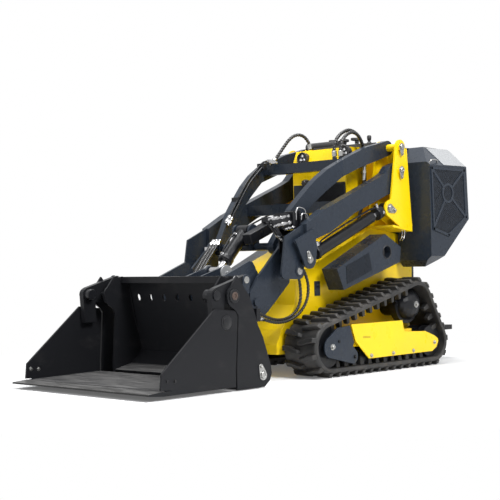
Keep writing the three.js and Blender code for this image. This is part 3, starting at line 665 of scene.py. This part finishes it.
def add_lugs(belt, line, total, x0, wide):
    """Two rows of bent lugs, one from each edge, half a pitch apart."""
    count = round(total / LUG_PITCH)
    for i in range(count * 2):
        flip = i % 2
        run = (i + 0.5) * total / count / 2
        mean = [sum(p[k] for p in LUG_HALF) / len(LUG_HALF) for k in (0, 1)]
        rings = []
        for scale, height in ((1.0, BELT_THICK - 0.002), (0.96, BELT_THICK + 0.006),
                              (LUG_TOP, BELT_THICK + LUG_HIGH)):
            ring = []
            for u, v in LUG_HALF:
                u = mean[0] + (u - mean[0]) * scale
                v = mean[1] + (v - mean[1]) * scale
                x = x0 + (1 - u if flip else u) * wide
                ring.append(point_on(line, total, run + v * LUG_PITCH, height, x))
            rings.append(ring)
        belt.skin(rings)


def add_drive_teeth(belt, line, total, middle, wheels):
    """Teeth on the inner face, left out where a wheel fills the belt."""
    count = round(total / LUG_PITCH)
    for i in range(count):
        run = i * total / count
        at = point_on(line, total, run, 0.0, middle)
        if any(dist((at.y, at.z), centre) < radius + 0.012 for centre, radius in wheels):
            continue
        rings = []
        for half, deep, wide in ((0.017, 0.001, 0.02), (0.01, -0.046, 0.014)):
            rings.append([
                point_on(line, total, run + a * half, deep, middle + b * wide)
                for a, b in ((-1, -1), (1, -1), (1, 1), (-1, 1))
            ])
        belt.skin(rings)


both_sides(make_track)


# ---------------- undercarriage trim
def make_undercarriage_trim(side, word):
    """Bolts on the track cover and idler bracket, and the sprocket's hub and flange."""
    bolts = Piece(f"track_cover_bolts_{word}")
    for y, z in ((0.125, 0.1), (0.331, 0.1), (0.527, 0.102), (0.742, 0.138)):
        bolts.bolt(spot(side * COVER_X, y, z), across(side), 0.018)
    bolts.bolt(spot(side * COVER_X, -0.217, 0.17), across(side), 0.026)
    bolts.done(ZINC)
    dark = Piece(f"idler_bracket_bolts_{word}")
    for y, z, size in ((-0.16, 0.197, 0.015), (-0.022, 0.103, 0.02)):
        dark.bolt(spot(side * (COVER_X - 0.001), y, z), across(side), size)
    # Painted shade: a thin black strip on the cover stands for the shade inside a slit.
    slit_shade = spots([(0.053, 0.21), (0.121, 0.206)], side * (COVER_X + 0.0005))
    dark.strip(*slit_shade, across(side), 0.004, 0.001)
    dark.done(BLACK)
    hub = Piece(f"sprocket_hub_{word}")
    (y, z), _ = wheel_of(f"drive_sprocket_{word}")
    face = box_side(f"drive_sprocket_{word}", side)
    start = Vector((side * (face - 0.004), y, z))
    hub.disc(start, across(side), 24, 0.02, 0.004, (0.006, 0.015))
    hub.disc(start, across(side), 6, 0.012, 0.014, (0.016, 0.009))
    hub.done(ZINC, bevel=0.0006)
    flange = Piece(f"sprocket_flange_{word}")
    for at in circle(Vector((side * (face - 0.072), y, z)), Vector((0, 1, 0)), Vector((0, 0, 1)), 0.086, 10):
        flange.bolt(at, across(side), 0.016)
    flange.done(IRON)


both_sides(make_undercarriage_trim)


# ---------------- pins
KEEPER_THICK = 0.006
KEEPER_FOOT = KEEPER_THICK - 0.001      # what sits on a keeper plate sinks into it by 1 mm


def slab(piece, corners, normal, thick):
    piece.skin([[p + normal * h for p in corners] for h in (0.0, thick)])


# Each piece with its body, and its pins: place, face, way to the keeper's bolt (y, z), and radius
KEEPERS = [
    ("tower_pin_keepers", "machine", [(PIN_A, TOWER_X - 0.004, (0, -0.042), 0.017),
                                      (PIN_B, TOWER_X - 0.004, (0, -0.042), 0.017),
                                      (PIN_L, TOWER_X - 0.014, (0.038, -0.012), 0.021)]),
    ("arm_pin_keeper", "arms", [(PIN_K, ARM_X - 0.001, (-0.014, 0.036), 0.017)]),
    ("bucket_pin_keepers", "bucket", [(PIN_S, BUCKET_X - 0.0015, (-0.016, 0.044), 0.02)]),
]


def keeper(piece, middle, normal, drop, radius):
    """A pin head with a teardrop keeper plate that hangs from it and is held by one bolt."""
    end = middle + drop
    run = drop.normalized()
    out = normal.cross(run)
    outline = []
    for centre, r, first, last in ((middle, radius * 1.35, 90, 270), (end, radius * 0.75, 270, 450)):
        for k in range(9):
            a = radians(first + (last - first) * k / 8)
            outline.append(centre + run * cos(a) * r + out * sin(a) * r)
    slab(piece, outline, normal, KEEPER_THICK)
    piece.lathe(middle + normal * KEEPER_FOOT, normal,
                [(0, radius), (0.007, radius), (0.01, radius * 0.8), (0.01, radius * 0.45),
                 (0.007, radius * 0.4)])
    piece.bolt(end + normal * KEEPER_FOOT, normal, radius * 0.95)


def make_pins(side, word):
    """The pins' heads and keepers, and the bosses and bolts of the jaw's hinge."""
    for name, body, pins in KEEPERS:
        plates = Piece(f"{name}_{word}")
        for pin, face, drop, radius in pins:
            keeper(plates, at_x(side * face, pin), across(side), Vector((0, *drop)), radius)
        plates.done(ZINC, body, bevel=0.0008)
    hinge = Piece(f"jaw_hinge_bosses_{word}")
    hinge.disc(at_x(side * (BUCKET_X - 0.002), PIN_P), across(side), 36, 0.035, 0.007, (0.009, 0.033))
    hinge.done(BLACK, "bucket", bevel=0.0006)
    bolt = Piece(f"jaw_hinge_bolts_{word}")
    bolt.disc(at_x(side * (BUCKET_X + 0.006), PIN_P), across(side), 24, 0.021, 0.003,
              (0.0048, 0.018), (0.0048, 0.01), (0.0015, 0.008))
    bolt.done(RUST, "bucket")


both_sides(make_pins)


# ---------------- grilles
AHEAD = Vector((0, -1, 0))
UPWARD = Vector((0, 0, 1))
# Corners of each mesh field as (y, z) from the datum
BOX_FIELD = [(0.016, 0.513), (0.01, 0.616), (0.223, 0.689), (0.248, 0.589)]
POD_FIELD = [(0.718, 0.83), (0.706, 1.2), (1.046, 1.196), (1.06, 0.905), (0.868, 0.792)]
POD_HUB = (0.868, 1.05)
POD_SPOKE_ENDS = [(0.712, 1.192), (1.04, 1.188), (1.054, 0.908), (0.722, 0.845)]
POD_TOP = Vector((0.142, 0, 0.16)).normalized()        # outward direction of the left pod's sloping top


def side_grille(name, outline, face, side, pitch, wire):
    """Painted shade: a near-black sheet stands for the shade behind a crossed mesh, on a face that looks sideways.
    """
    # Painted shade: a near-black sheet under the mesh, where only shade shows.
    shade_backing = Piece(f"{name}_backing")
    slab(shade_backing, spots(outline, side * face), across(side), 0.0012)
    shade_backing.done(SHADOW)
    mesh = Piece(f"{name}_mesh")
    mesh.mesh_panel(spots(outline, side * (face + 0.0022)), pitch, wire, 0.002)
    mesh.done(SLATE)


def rim(piece, outline, face, side, wide, thick):
    """Flat strips along the edges of an outline."""
    corners = spots(outline, side * (face + thick / 2))
    for a, b in around(corners):
        run = (b - a).normalized() * wide / 2
        piece.strip(a - run, b + run, across(side), wide, thick)


def make_pod_trim(side, word):
    """The pod's side grille with a spoked ring, the lid on its sloping top in a pale grey that is painted light on
    slate, and a small handle.
    """
    side_grille(f"pod_grille_{word}", POD_FIELD, POD_X, side, 0.0115, 0.0036)
    frame_piece = Piece(f"pod_grille_frame_{word}")
    rim(frame_piece, POD_FIELD, POD_X, side, 0.016, 0.007)
    hub = spot(side * (POD_X + 0.0035), *POD_HUB)
    for y, z in POD_SPOKE_ENDS:
        end = spot(side * (POD_X + 0.0035), y, z)
        start = hub + (end - hub).normalized() * 0.05
        frame_piece.strip(start, end, across(side), 0.016, 0.0062)
    section = ((0.046, -0.0035), (0.062, -0.0035), (0.062, 0.0035), (0.046, 0.0035))
    frame_piece.skin([[hub + out * r + across(side) * h for r, h in section]
                      for out in circle(Vector(), Vector((0, 1, 0)), UPWARD, 1, 40)], closed=True)
    frame_piece.done(SLATE, bevel=0.0008)
    # Painted light: the lid's pale grey stands for light falling on the pod's slate top.
    lid = Piece(f"pod_lid_{word}")
    foot = Vector((0.5535, 0, 1.2165))
    low, high = (foot + Vector((-POD_TOP.z, 0, POD_TOP.x)) * up for up in (0.008, 0.18))
    corners = [spot(side * p.x, y, p.z)
               for p, y in ((low, 0.838), (low, 1.072), (high, 1.068), (high, 0.838))]
    slab(lid, corners, Vector((side * POD_TOP.x, 0, POD_TOP.z)), 0.003)
    lid.done(GREY_PIN_AND_LIT_LID, bevel=0.0008)
    handle = Piece(f"pod_handle_{word}")
    ends = [spot(side * 0.53, y, 1.232) for y in (0.712, 0.79)]
    rise = [p + Vector((side * 0.01, 0, 0.016)) for p in ends]
    handle.pipe([ends[0], rise[0].lerp(rise[1], 0.12), rise[0].lerp(rise[1], 0.88), ends[1]], 0.006, 0.0045)
    handle.done(ZINC)


def make_box_trim(side, word):
    """The box's grille, its round filler and the strap that holds it."""
    side_grille(f"box_grille_{word}", BOX_FIELD, BOX_X, side, 0.0085, 0.003)
    collar = Piece(f"box_filler_collar_{word}")
    middle = spot(side * BOX_X, 0.394, 0.693)
    collar.ring(middle, across(side), 0.0385, 0.0035, 40)
    collar.disc(middle - across(side) * 0.078, across(side), 28, 0.026, 0.04, (0.046, 0.022))
    collar.done(PLASTIC)
    strap = Piece(f"box_strap_{word}")
    strap.block(spot(min(side * 0.2725, side * 0.2765), -0.078, 0.448),
                spot(max(side * 0.2725, side * 0.2765), -0.03, 0.532))
    strap.bolt(spot(side * 0.2765, -0.052, 0.505), across(side), 0.018)
    strap.done(SLATE, bevel=0.0012)


both_sides(make_pod_trim, make_box_trim)


# ---------------- console trim
def work_lamp(name, at, radius):
    """A round lamp: a black can with three bright lenses on its black face."""
    look = Vector((0, -1, 0.06)).normalized()
    can = Piece(f"{name}_can")
    can.lathe(at - look * 0.046, look, [(0, radius * 0.62), (0.012, radius * 0.9), (0.046, radius),
                                        (0.05, radius), (0.05, radius * 0.84), (0.04, radius * 0.8)], 32)
    can.block(at + Vector((-0.01, 0.02, -radius - 0.03)), at + Vector((0.01, 0.03, -radius * 0.6)))
    can.done(PLASTIC, bevel=0.0008)
    back = Piece(f"{name}_face")
    back.disc(at - look * 0.008, look, 32, radius * 0.8, 0.003)
    back.done(PLASTIC)
    glass = Piece(f"{name}_lens")
    for i in range(3):
        turn = radians(90 + 120 * i)
        middle = at + Vector((cos(turn), 0, sin(turn))) * radius * 0.38 - look * 0.005
        glass.lathe(middle, look, [(0, radius * 0.3), (0.005, radius * 0.27), (0.008, radius * 0.14)], 18)
    glass.done(STEEL)


def make_console_front():
    """Dark lower panels, a vent and a knob on the console's front face, and the lamps above them."""
    face = CONSOLE_FACE
    panel = Piece("console_lower_panel")
    panel.block(Vector((-0.208, face - 0.004, 0.94)), Vector((-0.02, face - 0.0004, 1.12)))
    panel.done(SLATE, bevel=0.001)
    # Painted shade: a near-black sheet behind the vent mesh stands for the shade inside the vent.
    vent_shade_backing = Piece("console_vent_shade_backing")
    vent_shade_backing.block(Vector((-0.012, face - 0.0016, 0.9)), Vector((0.205, face - 0.0004, 1.118)))
    vent_shade_backing.done(SHADOW)
    vent = Piece("console_vent_mesh")
    corners = [Vector((x, face - 0.004, z))
               for x, z in ((-0.012, 0.9), (0.205, 0.9), (0.205, 1.118), (-0.012, 1.118))]
    vent.mesh_panel(corners, 0.01, 0.0035, 0.0024)
    for a, b in around(corners):
        vent.strip(a, b, AHEAD, 0.01, 0.005)
    vent.done(BLACK)
    knob = Piece("console_knob")
    knob.disc(Vector((-0.097, face - 0.003, 1.128)), AHEAD, 18, 0.024, 0.01,
              (0.014, 0.018), (0.03, 0.018), (0.034, 0.014))
    for i in range(8):
        turn = tau * i / 8
        out = Vector((cos(turn), 0, sin(turn)))
        knob.disc(Vector((-0.097, face - 0.016, 1.128)) + out * 0.019, AHEAD, 8, 0.005, 0.016)
    knob.done(PLASTIC)
    brow = face + 0.03         # the sheet above the panels stands back this far
    work_lamp("work_lamp_right", Vector((-0.128, brow - 0.04, 1.283)), 0.042)
    work_lamp("work_lamp_left", Vector((0.215, brow - 0.045, 1.3)), 0.04)


def make_gauges():
    """Three gauges on the cowl, and a knob and a boot for each control lever."""
    high = Vector(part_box("instrument_cowl")[1])
    dash = Piece("dash_gauges")
    for x in (-0.09, 0.0, 0.09):
        at = Vector((x, high.y - 0.1, high.z - 0.006))
        dash.disc(at, Vector((0, 0.1, 1)), 28, 0.03, 0.012, (0.012, 0.026), (0.009, 0.025))
    dash.done(PLASTIC)
    levers = Piece("lever_knobs")
    for x, top in ((-0.1, 1.428), (0.0, 1.42), (0.1, 1.434)):
        foot = spot(x, 0.675, top - 0.034)
        levers.lathe(foot, UPWARD,
                     [(0, 0.0095), (0.006, 0.013), (0.026, 0.0145), (0.033, 0.011), (0.0345, 0.005)], 20)
        boot = spot(x, 0.675, 1.376)
        levers.lathe(boot, UPWARD,
                     [(0, 0.021), (0.004, 0.019), (0.008, 0.02), (0.012, 0.014), (0.018, 0.0105)], 20)
    levers.done(PLASTIC)


make_console_front()
make_gauges()


# ---------------- hydraulic fittings
def fitting(piece, start, direction, radius, length):
    """A swaged hose end: ferrule, hexagon nut and neck."""
    piece.disc(start, direction, 18, radius, length * 0.45, (length * 0.5, radius * 0.8))
    axis = Vector(direction).normalized()
    piece.disc(start + axis * length * 0.5, direction, 6, radius * 1.25, length * 0.3,
               (length * 0.33, radius * 1.05))
    piece.disc(start + axis * length * 0.8, direction, 14, radius * 0.75, length * 0.2)


def coupler(piece, start, direction, radius, length):
    """A quick coupler: grooved sleeve between two necks."""
    profile = [(0, 0.7), (0.12, 0.7), (0.14, 1), (0.2, 1), (0.22, 0.88), (0.3, 0.88), (0.32, 1), (0.58, 1),
               (0.6, 0.86), (0.66, 0.86), (0.68, 0.98), (0.84, 0.98), (0.86, 0.6), (1, 0.6)]
    piece.lathe(start, direction, [(along * length, radius * r) for along, r in profile], 22)


def make_coupler_block():
    """Bright couplers and guard loops on the block beside the leg."""
    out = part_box("coupler_block")[1][0]
    bright = Piece("quick_couplers")
    along = Vector((0, -1, -0.16)).normalized()
    for x, z in ((0.315, 0.905), (0.343, 0.905), (0.329, 0.88), (0.352, 0.868)):
        coupler(bright, spot(x, -0.345, z), along, 0.0125, 0.15)
    coupler(bright, spot(out + 0.009, -0.345, 0.838), along, 0.0105, 0.08)
    bright.done(STEEL, "leg")
    plate_piece = Piece("coupler_plates")
    plate_piece.plate([(-0.35, 0.822), (-0.356, 0.926), (-0.346, 0.928), (-0.338, 0.822)], 0.3, out + 0.012)
    plate_piece.plate([(-0.296, 0.822), (-0.3, 0.934), (-0.292, 0.934), (-0.286, 0.822)], 0.3, out + 0.014)
    plate_piece.done(BLACK, "leg", bevel=0.0008)
    loops = Piece("coupler_guard_loops")
    for y, wide, x in ((-0.27, 0.085, out - 0.004), (-0.255, 0.06, out + 0.01)):
        foot_a, foot_b = spot(x, y - wide / 2, 0.88), spot(x, y + wide / 2, 0.852)
        top_a, top_b = spot(x, y - wide / 2 + 0.006, 0.95), spot(x, y + wide / 2 - 0.004, 0.938)
        if x > out:
            top_a.z -= 0.034
            top_b.z -= 0.03
        path = [foot_a, foot_a.lerp(top_a, 0.75), top_a.lerp(top_b, 0.14), top_a.lerp(top_b, 0.86),
                foot_b.lerp(top_b, 0.75), foot_b]
        loops.pipe(path, 0.006, 0.0042)
    loops.done(STEEL, "leg")
    ends = Piece("loader_hose_ferrules")
    for points in LOADER_ROUTES:
        toward = (points[0] - points[1]).normalized()
        fitting(ends, points[0] - toward * 0.004, toward, 0.0118, 0.04)
        toward = (points[-1] - points[-2]).normalized()
        ends.lathe(points[-1] - toward * 0.042, toward, [(0, 0.0105), (0.002, 0.0122), (0.04, 0.0122)], 18)
    ends.done(STEEL, "leg")


def make_arch_fittings():
    """Collars at both ends of the hoses that arch from the link tube to the console."""
    for body, index in (("links", 0), ("machine", -1)):
        piece = Piece(f"arch_hose_collars_{body}")
        for points in ARCH_ROUTES.values():
            at, inner = points[index], points[1 if index == 0 else -2]
            inward = (inner - at).normalized()
            piece.disc(at + inward * 0.004, inward, 20, 0.0148, 0.03, (0.032, 0.0125))
        piece.done(ZINC, body)


def make_link_pipes():
    """Two rigid pipes down the far link, with bright fittings at both ends."""
    pipes = Piece("link_pipes")
    bright = Piece("link_pipe_fittings")
    for i in range(2):
        x = -0.258 + 0.019 * i
        drop = 0.012 * i
        route = [(0, 0.14, 1.268), (0, 0.078, 1.262), (0.004, 0.01, 1.212), (0.014, -0.07, 1.15),
                 (0.022, -0.14, 1.075), (0.03, -0.205, 0.995), (0.036, -0.262, 0.925)]
        path = smooth_path([spot(x + inward, y, z - drop) for inward, y, z in route], 0.012)
        pipes.tube(path, 0.006, 12)
        fitting(bright, path[0] + Vector((0, 0.034, 0.004)), path[4] - path[0], 0.0115, 0.072)
        fitting(bright, path[-1], (path[-1] - path[-3]), 0.0105, 0.06)
    bracket = Piece("link_pipe_clamps")
    for y, z in ((0.052, 1.238), (-0.176, 1.024)):
        bracket.block(spot(-0.276, y - 0.014, z - 0.028), spot(-0.218, y + 0.014, z + 0.014))
    pipes.done(BLACK, "links")
    bright.done(STEEL, "links")
    bracket.done(BLACK, "links", bevel=0.001)


make_coupler_block()
make_arch_fittings()
make_link_pipes()


# ---------------- cylinders
PIPE_R = 0.0055
LIFT_GLAND = 0.189              # from the rod's eye back to the gland, with the rod in
LIFT_COLLAR, TILT_GLAND, CLAM_GLAND = 0.088, 0.207, 0.282       # from the barrel's eye


def axis_of(pin, far):
    """Unit vector from one pin to another in the side plane."""
    run = far - pin
    return Vector((0, run.y, run.z)).normalized()


def make_lift_trim(side, word):
    """Gland, collar, pipe and fittings on a lift barrel, and the head of its rod."""
    barrel_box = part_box(f"lift_barrel_{word}")
    rod_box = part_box(f"lift_rod_{word}")
    x = (barrel_box[0][0] + barrel_box[1][0]) / 2
    start = at_x(x, PIN_K)
    run = axis_of(PIN_K, PIN_L)
    reach = (PIN_L - PIN_K).length
    gland_at = reach - LIFT_GLAND
    up = Vector((0, -run.z, run.y))
    gland = Piece(f"lift_gland_{word}")
    gland.lathe(start + run * gland_at, run,
                [(0, 0.0385), (0.004, 0.0405), (0.044, 0.0405), (0.05, 0.036)], 28)
    gland.lathe(start + run * LIFT_COLLAR, run,
                [(0, 0.036), (0.004, 0.0385), (0.022, 0.0385), (0.026, 0.036)], 28)
    port = start + run * (gland_at + 0.022) + up * 0.038
    gland.disc(port, up, 16, 0.013, 0.012)
    pipe_side = x + side * 0.012
    low = at_x(pipe_side, start) + run * 0.125 + up * 0.034
    high = at_x(pipe_side, start) + run * (gland_at - 0.02) + up * 0.041
    gland.pipe([low, low + up * 0.012 + run * 0.012, high + up * 0.006, high + run * 0.02], 0.01, PIPE_R)
    gland.done(BLACK, f"lift_barrel_{word[0]}", bevel=0.0008)
    bright = Piece(f"lift_fittings_{word}")
    for along in (gland_at + 0.022, 0.118):
        at = start + run * along + up * 0.036 + across(side) * 0.01
        bright.disc(at, up, 6, 0.0105, 0.014, (0.016, 0.008), (0.024, 0.008))
    at = start + run * (gland_at + 0.03) + across(side) * 0.034
    bright.disc(at, across(side), 6, 0.01, 0.01, (0.012, 0.007))
    bright.done(STEEL, f"lift_barrel_{word[0]}")
    head = Piece(f"lift_rod_head_{word}")
    eye = at_x(x, PIN_L)
    half = (rod_box[1][0] - rod_box[0][0]) / 2
    head.lathe(eye - run * 0.074, run, [(0, 0.021), (0.006, 0.026), (0.042, 0.027), (0.045, 0.024)], 24)
    head.lathe(eye - across(1) * (half + 0.001), across(1),
               [(0, 0.0352), (0.003, 0.0362), (half * 2 - 0.001, 0.0362), (half * 2 + 0.002, 0.0352)], 28)
    head.done(BLACK, f"lift_rod_{word[0]}", bevel=0.0008)


def make_tilt_trim():
    start, end = at_x(0, PIN_T), Vector((0, PIN_E.y, PIN_E.z + TILT_EYE_RISE))
    run = axis_of(start, end)
    up = Vector((0, run.z, -run.y)) if run.y < 0 else Vector((0, -run.z, run.y))
    trim = Piece("tilt_barrel_pipe")
    trim.lathe(start + run * TILT_GLAND, run,
               [(0, 0.0405), (0.004, 0.0425), (0.03, 0.0425), (0.034, 0.038)], 28)
    path = [start + run * along + up * out
            for along, out in ((0.07, 0.038), (0.08, 0.053), (0.19, 0.055), (0.222, 0.041))]
    trim.pipe(path, 0.008, PIPE_R)
    trim.done(BLACK, "tilt_barrel", bevel=0.0008)
    bright = Piece("tilt_fittings")
    for along in (0.068, 0.222):
        bright.disc(start + run * along + up * 0.034, up, 6, 0.0105, 0.012, (0.014, 0.008), (0.02, 0.008))
    bright.done(STEEL, "tilt_barrel")


def make_clam_trim(_, word):
    box_low, box_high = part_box(f"clam_barrel_{word}")
    x = (box_low[0] + box_high[0]) / 2
    start = at_x(x, PIN_S)
    run = axis_of(start, spot(x, CLAM_PIN[0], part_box(f"clam_rod_{word}")[1][2] - CLAM_EYE_R))
    trim = Piece(f"clam_gland_{word}")
    trim.lathe(start + run * CLAM_GLAND, run,
               [(0, 0.0235), (0.003, 0.0255), (0.024, 0.0255), (0.027, 0.0225)], 26)
    trim.done(BLACK, f"clam_barrel_{word[0]}", bevel=0.0006)


both_sides(make_lift_trim, make_clam_trim)
make_tilt_trim()


# ---------------- arm and leg details
def make_arm_trim(side, word):
    weld = Piece(f"arm_doubler_weld_{word}")
    face = ARM_X - 0.0006 - 0.009
    line = [(-0.404, 0.762), (-0.33, 0.794), (-0.258, 0.826)]
    weld.weld(spots(line, side * face), 0.0028)
    front = [(-0.407, 0.76), (-0.372, 0.715), (-0.342, 0.672)]
    weld.weld(spots(front, side * face), 0.0026)
    weld.done(SLATE, "arms")
    boss = Piece(f"leg_pin_washer_{word}")
    boss.disc(at_x(side * 0.3965, PIN_D), across(side), 30, 0.03, 0.005, (0.0055, 0.027))
    boss.done(SLATE, "arms", bevel=0.0006)
    hub = Piece(f"leg_pin_cap_{word}")
    hub.disc(at_x(side * 0.4015, PIN_D), across(side), 26, 0.0205, 0.004, (0.0055, 0.017))
    hub.bolt(at_x(side * 0.4065, PIN_D), across(side), 0.013)
    hub.done(ZINC, "leg")


both_sides(make_arm_trim)


# ---------------- fittings beside the console
SHELF_PORTS = ((0.235, 0.442), (0.268, 0.408))      # x and y, under the ends of the left arch hoses
HOOK_LINE = [(0.604, 0.842), (0.612, 0.812), (0.604, 0.78), (0.586, 0.762)]


def make_shelf_fittings():
    """Stacked hose fittings under the shelf beside the console, and the hooks below the towers."""
    stack = Piece("shelf_fittings")
    for x, y in SHELF_PORTS:
        top = spot(x, y, 1.235)
        down = Vector((0, 0, -1))
        stack.disc(top, down, 6, 0.0165, 0.02, (0.022, 0.013))
        stack.disc(top + down * 0.021, down, 18, 0.012, 0.024)
        stack.disc(top + down * 0.044, down, 6, 0.0155, 0.018, (0.02, 0.012))
        stack.disc(top + down * 0.063, down, 18, 0.0135, 0.04, (0.042, 0.011))
    stack.done(STEEL)
    drops = Piece("shelf_drop_hoses")
    for x, y in SHELF_PORTS:
        drops.pipe(places((x, y, 1.135), (x, y, 1.08), (x - 0.006, y - 0.006, 1.000),
                          (x - 0.024, y - 0.02, 0.93), (x - 0.03, y - 0.03, 0.85)), 0.012, 0.0105, 12)
    drops.done(HOSE)
    hooks = Piece("tower_hooks")
    for side in (1, -1):
        for x in (0.392, 0.41):
            hooks.pipe(spots(HOOK_LINE, side * x), 0.005, 0.0042)
    hooks.done(STEEL)


make_shelf_fittings()


# ---------------- bucket details
def make_bucket_trim(side, word):
    """Weld discs, bosses and bolts on one side of the jaw, and the pin heads of its cylinder."""
    outer, inner = side * BUCKET_X, side * (BUCKET_X - 0.012)
    discs = Piece(f"jaw_discs_{word}")
    for face, look in ((outer, across(side)), (inner, across(-side))):
        for radius, thick in ((0.036, 0.0035), (0.025, 0.0065)):
            discs.disc(spot(face - look.x * 0.001, -1.07, 0.35), look, 32, radius, thick,
                       (thick + 0.001, radius - 0.002))
    boss = spot(side * 0.458, -1.118, 0.486)
    discs.lathe(boss, across(side), [(0, 0.026), (0.004, 0.03), (0.036, 0.03), (0.039, 0.028)], 28)
    discs.disc(spot(side * 0.53, -1.118, 0.486), across(side), 28, 0.024, 0.007, (0.008, 0.021))
    for y, z in ((-1.477, 0.089), (-1.426, 0.084)):
        discs.bolt(spot(outer - side * 0.001, y, z), across(side), 0.015)
    discs.done(BLACK, "jaw", bevel=0.0005)
    bolts = Piece(f"lip_bolts_{word}")
    for y, z in ((-1.483, 0.096), (-1.433, 0.092)):
        bolts.bolt(spot(inner, y, z), across(-side), 0.017)
    bolts.done(ZINC, "jaw")
    lug = Piece(f"clam_pin_lug_{word}")
    y, z = CLAM_PIN
    top = [(y + 0.029 * cos(a), z + 0.029 * sin(a)) for a in map(radians, range(-20, 201, 20))]
    lug.plate(top + [(-0.946, 0.478), (-0.893, 0.462)], side * 0.5303, side * 0.5343)
    lug.done(SLATE, "jaw", bevel=0.0008)
    heads = Piece(f"clam_pin_heads_{word}")
    for x, look in ((0.534, side), (0.4965, -side)):
        heads.disc(spot(side * x, *CLAM_PIN), across(look), 26, 0.018, 0.002, (0.003, 0.015))
    heads.done(ZINC, "jaw")


def make_bucket_welds():
    """Weld beads at the floor's corners and across it, and the worn cutting edge."""
    beads = Piece("jaw_welds")
    inner = BUCKET_X - 0.0125
    for side in (1, -1):
        floor = [(-1.48, 0.0415), (-1.36, 0.0425), (-1.2, 0.0465), (-1.02, 0.0495)]
        beads.weld(spots(floor, side * inner), 0.0035)
    beads.weld([spot(x, -1.5, 0.0405) for x in (-0.53, -0.2, 0.1, 0.53)], 0.0028)
    beads.done(BLACK, "jaw")
    edge = Piece("cutting_edge")
    edge.plate([(-1.5965, 0.0262), (-1.5965, 0.0345), (-1.57, 0.0362), (-1.502, 0.0412),
                (-1.502, 0.0395), (-1.57, 0.0255)], -BUCKET_X + 0.0005, BUCKET_X - 0.0005)
    edge.done(EDGE_STEEL, "jaw")
    wall = Piece("bucket_wall_welds")
    for side in (1, -1):
        seam = [(-0.868, 0.092), (-0.8, 0.157), (-0.84, 0.33), (-0.884, 0.53)]
        wall.weld(spots(seam, side * 0.4235), 0.0032)
    wall.done(BLACK, "bucket")


both_sides(make_bucket_trim)
make_bucket_welds()


# ---------------- leg hoses, beam and tilt pin
LEG_HOSE_ROUTE = [(-0.395, 0.75), (-0.425, 0.715), (-0.5, 0.628), (-0.548, 0.568), (-0.6, 0.51)]
TILT_HEAD = (-0.59, 0.592)


def make_leg_trim():
    """The square beam beside the tilt cylinder, the tilt pin's two heads, and three hoses down the leg."""
    beam = Piece("leg_beam")
    start, end = spot(0.13, -0.478, 0.776), spot(0.13, -0.216, 0.877)
    run = (end - start).normalized()
    up = Vector((0, -run.z, run.y))
    half = Vector((0.031, 0, 0))
    section = ((-1, -0.03), (1, -0.03), (1, 0.03), (-1, 0.03))
    beam.skin([[p + half * a + up * b for a, b in section] for p in (start, end)])
    beam.block(spot(0.1, -0.33, 0.872), spot(0.3, -0.262, 0.904))
    beam.done(BLACK, "leg", bevel=0.004)
    head = Piece("tilt_pin_head")
    for side in (1, -1):
        head.disc(spot(side * 0.0665, *TILT_HEAD), across(side), 40, 0.044, 0.008, (0.0095, 0.042))
        if side > 0:
            head.bolt(spot(0.076, *TILT_HEAD), across(side), 0.02)
    head.done(GREY_PIN_AND_LIT_LID, "bucket", bevel=0.0006)
    hoses = Piece("leg_side_hoses")
    fittings = Piece("leg_side_fittings")
    for i in range(3):
        path = smooth_path(spots(LEG_HOSE_ROUTE, -0.252 + 0.026 * i), 0.01)
        hoses.tube(path, 0.0095, 12)
        fitting(fittings, path[0] - (path[3] - path[0]).normalized() * 0.04, path[3] - path[0], 0.0105, 0.044)
    fittings.block(spot(-0.285, -0.412, 0.722), spot(-0.19, -0.396, 0.742))
    hoses.done(HOSE, "leg")
    fittings.done(STEEL, "leg")


make_leg_trim()


# ---------------- stage
WHITE = (1.0, 1.0, 1.0)
SKY_COLOR = (0.95, 0.97, 1.0)
SKY_STRENGTH = 0.42
FLOOR_COLOR = (0.9, 0.9, 0.9)
FLOOR_HALF = 14.0
FLOOR_DROP = 0.001              # keeps the floor clear of faces that stand on it
FLOOR_SHOWN = (0.12, 1.0)       # share of the floor's seen brightness that is its own: near, and far off
FLOOR_BLEND = (1.5, 2.6)        # distances from the machine's middle between which it changes
LIGHTS_AIM = Vector((0, 0, 0.5))


def make_world():
    g = Graph("world", bpy.data.worlds, "World")
    lighting = g.node("Background", [("Color", SKY_COLOR), ("Strength", SKY_STRENGTH)])["Background"]
    seen = g.node("Background", [("Color", WHITE), ("Strength", 1.0)])["Background"]
    mixed = g.node("MixShader", [("Fac", g.shown_ray()), (1, lighting), (2, seen)])["Shader"]
    bpy.context.scene.world = g.show(mixed)


def floor_material():
    """Pale matt floor that looks white but keeps the machine's shadow."""
    g = Graph("floor")
    position = g.node("NewGeometry")["Position"]
    away = g.node("VectorMath", [(0, position)], operation="LENGTH")["Value"]
    own = g.multiply(g.shown_ray(), g.ramp(away, *FLOOR_BLEND, *FLOOR_SHOWN))
    matt = g.node("BsdfDiffuse", [("Color", FLOOR_COLOR)])["BSDF"]
    glow = g.node("Emission")["Emission"]
    return g.show(g.node("MixShader", [("Fac", own), (1, matt), (2, glow)])["Shader"])


def make_floor():
    mesh = bpy.data.meshes.new("floor")
    corners = [(x * FLOOR_HALF, y * FLOOR_HALF, 0) for x, y in ((-1, -1), (1, -1), (1, 1), (-1, 1))]
    mesh.from_pydata(corners, [], [(0, 1, 2, 3)])
    floor = placed("floor", mesh)
    floor.location.z = -FLOOR_DROP
    floor.data.materials.append(floor_material())


def area_light(name, at, size, watts):
    data = bpy.data.lights.new(name, "AREA")
    data.shape = "DISK"
    data.size = size
    data.energy = watts
    light = placed(name, data)
    light.location = at
    light.rotation_euler = (LIGHTS_AIM - Vector(at)).to_track_quat("-Z", "Y").to_euler()


bpy.context.scene.view_settings.view_transform = "Standard"
make_world()
make_floor()
area_light("key", (5.5, -1.0, 5.2), 2.4, 380)
area_light("front", (-1.0, -6.5, 3.5), 4.0, 95)
area_light("top", (0.0, 0.0, 6.5), 4.0, 420)
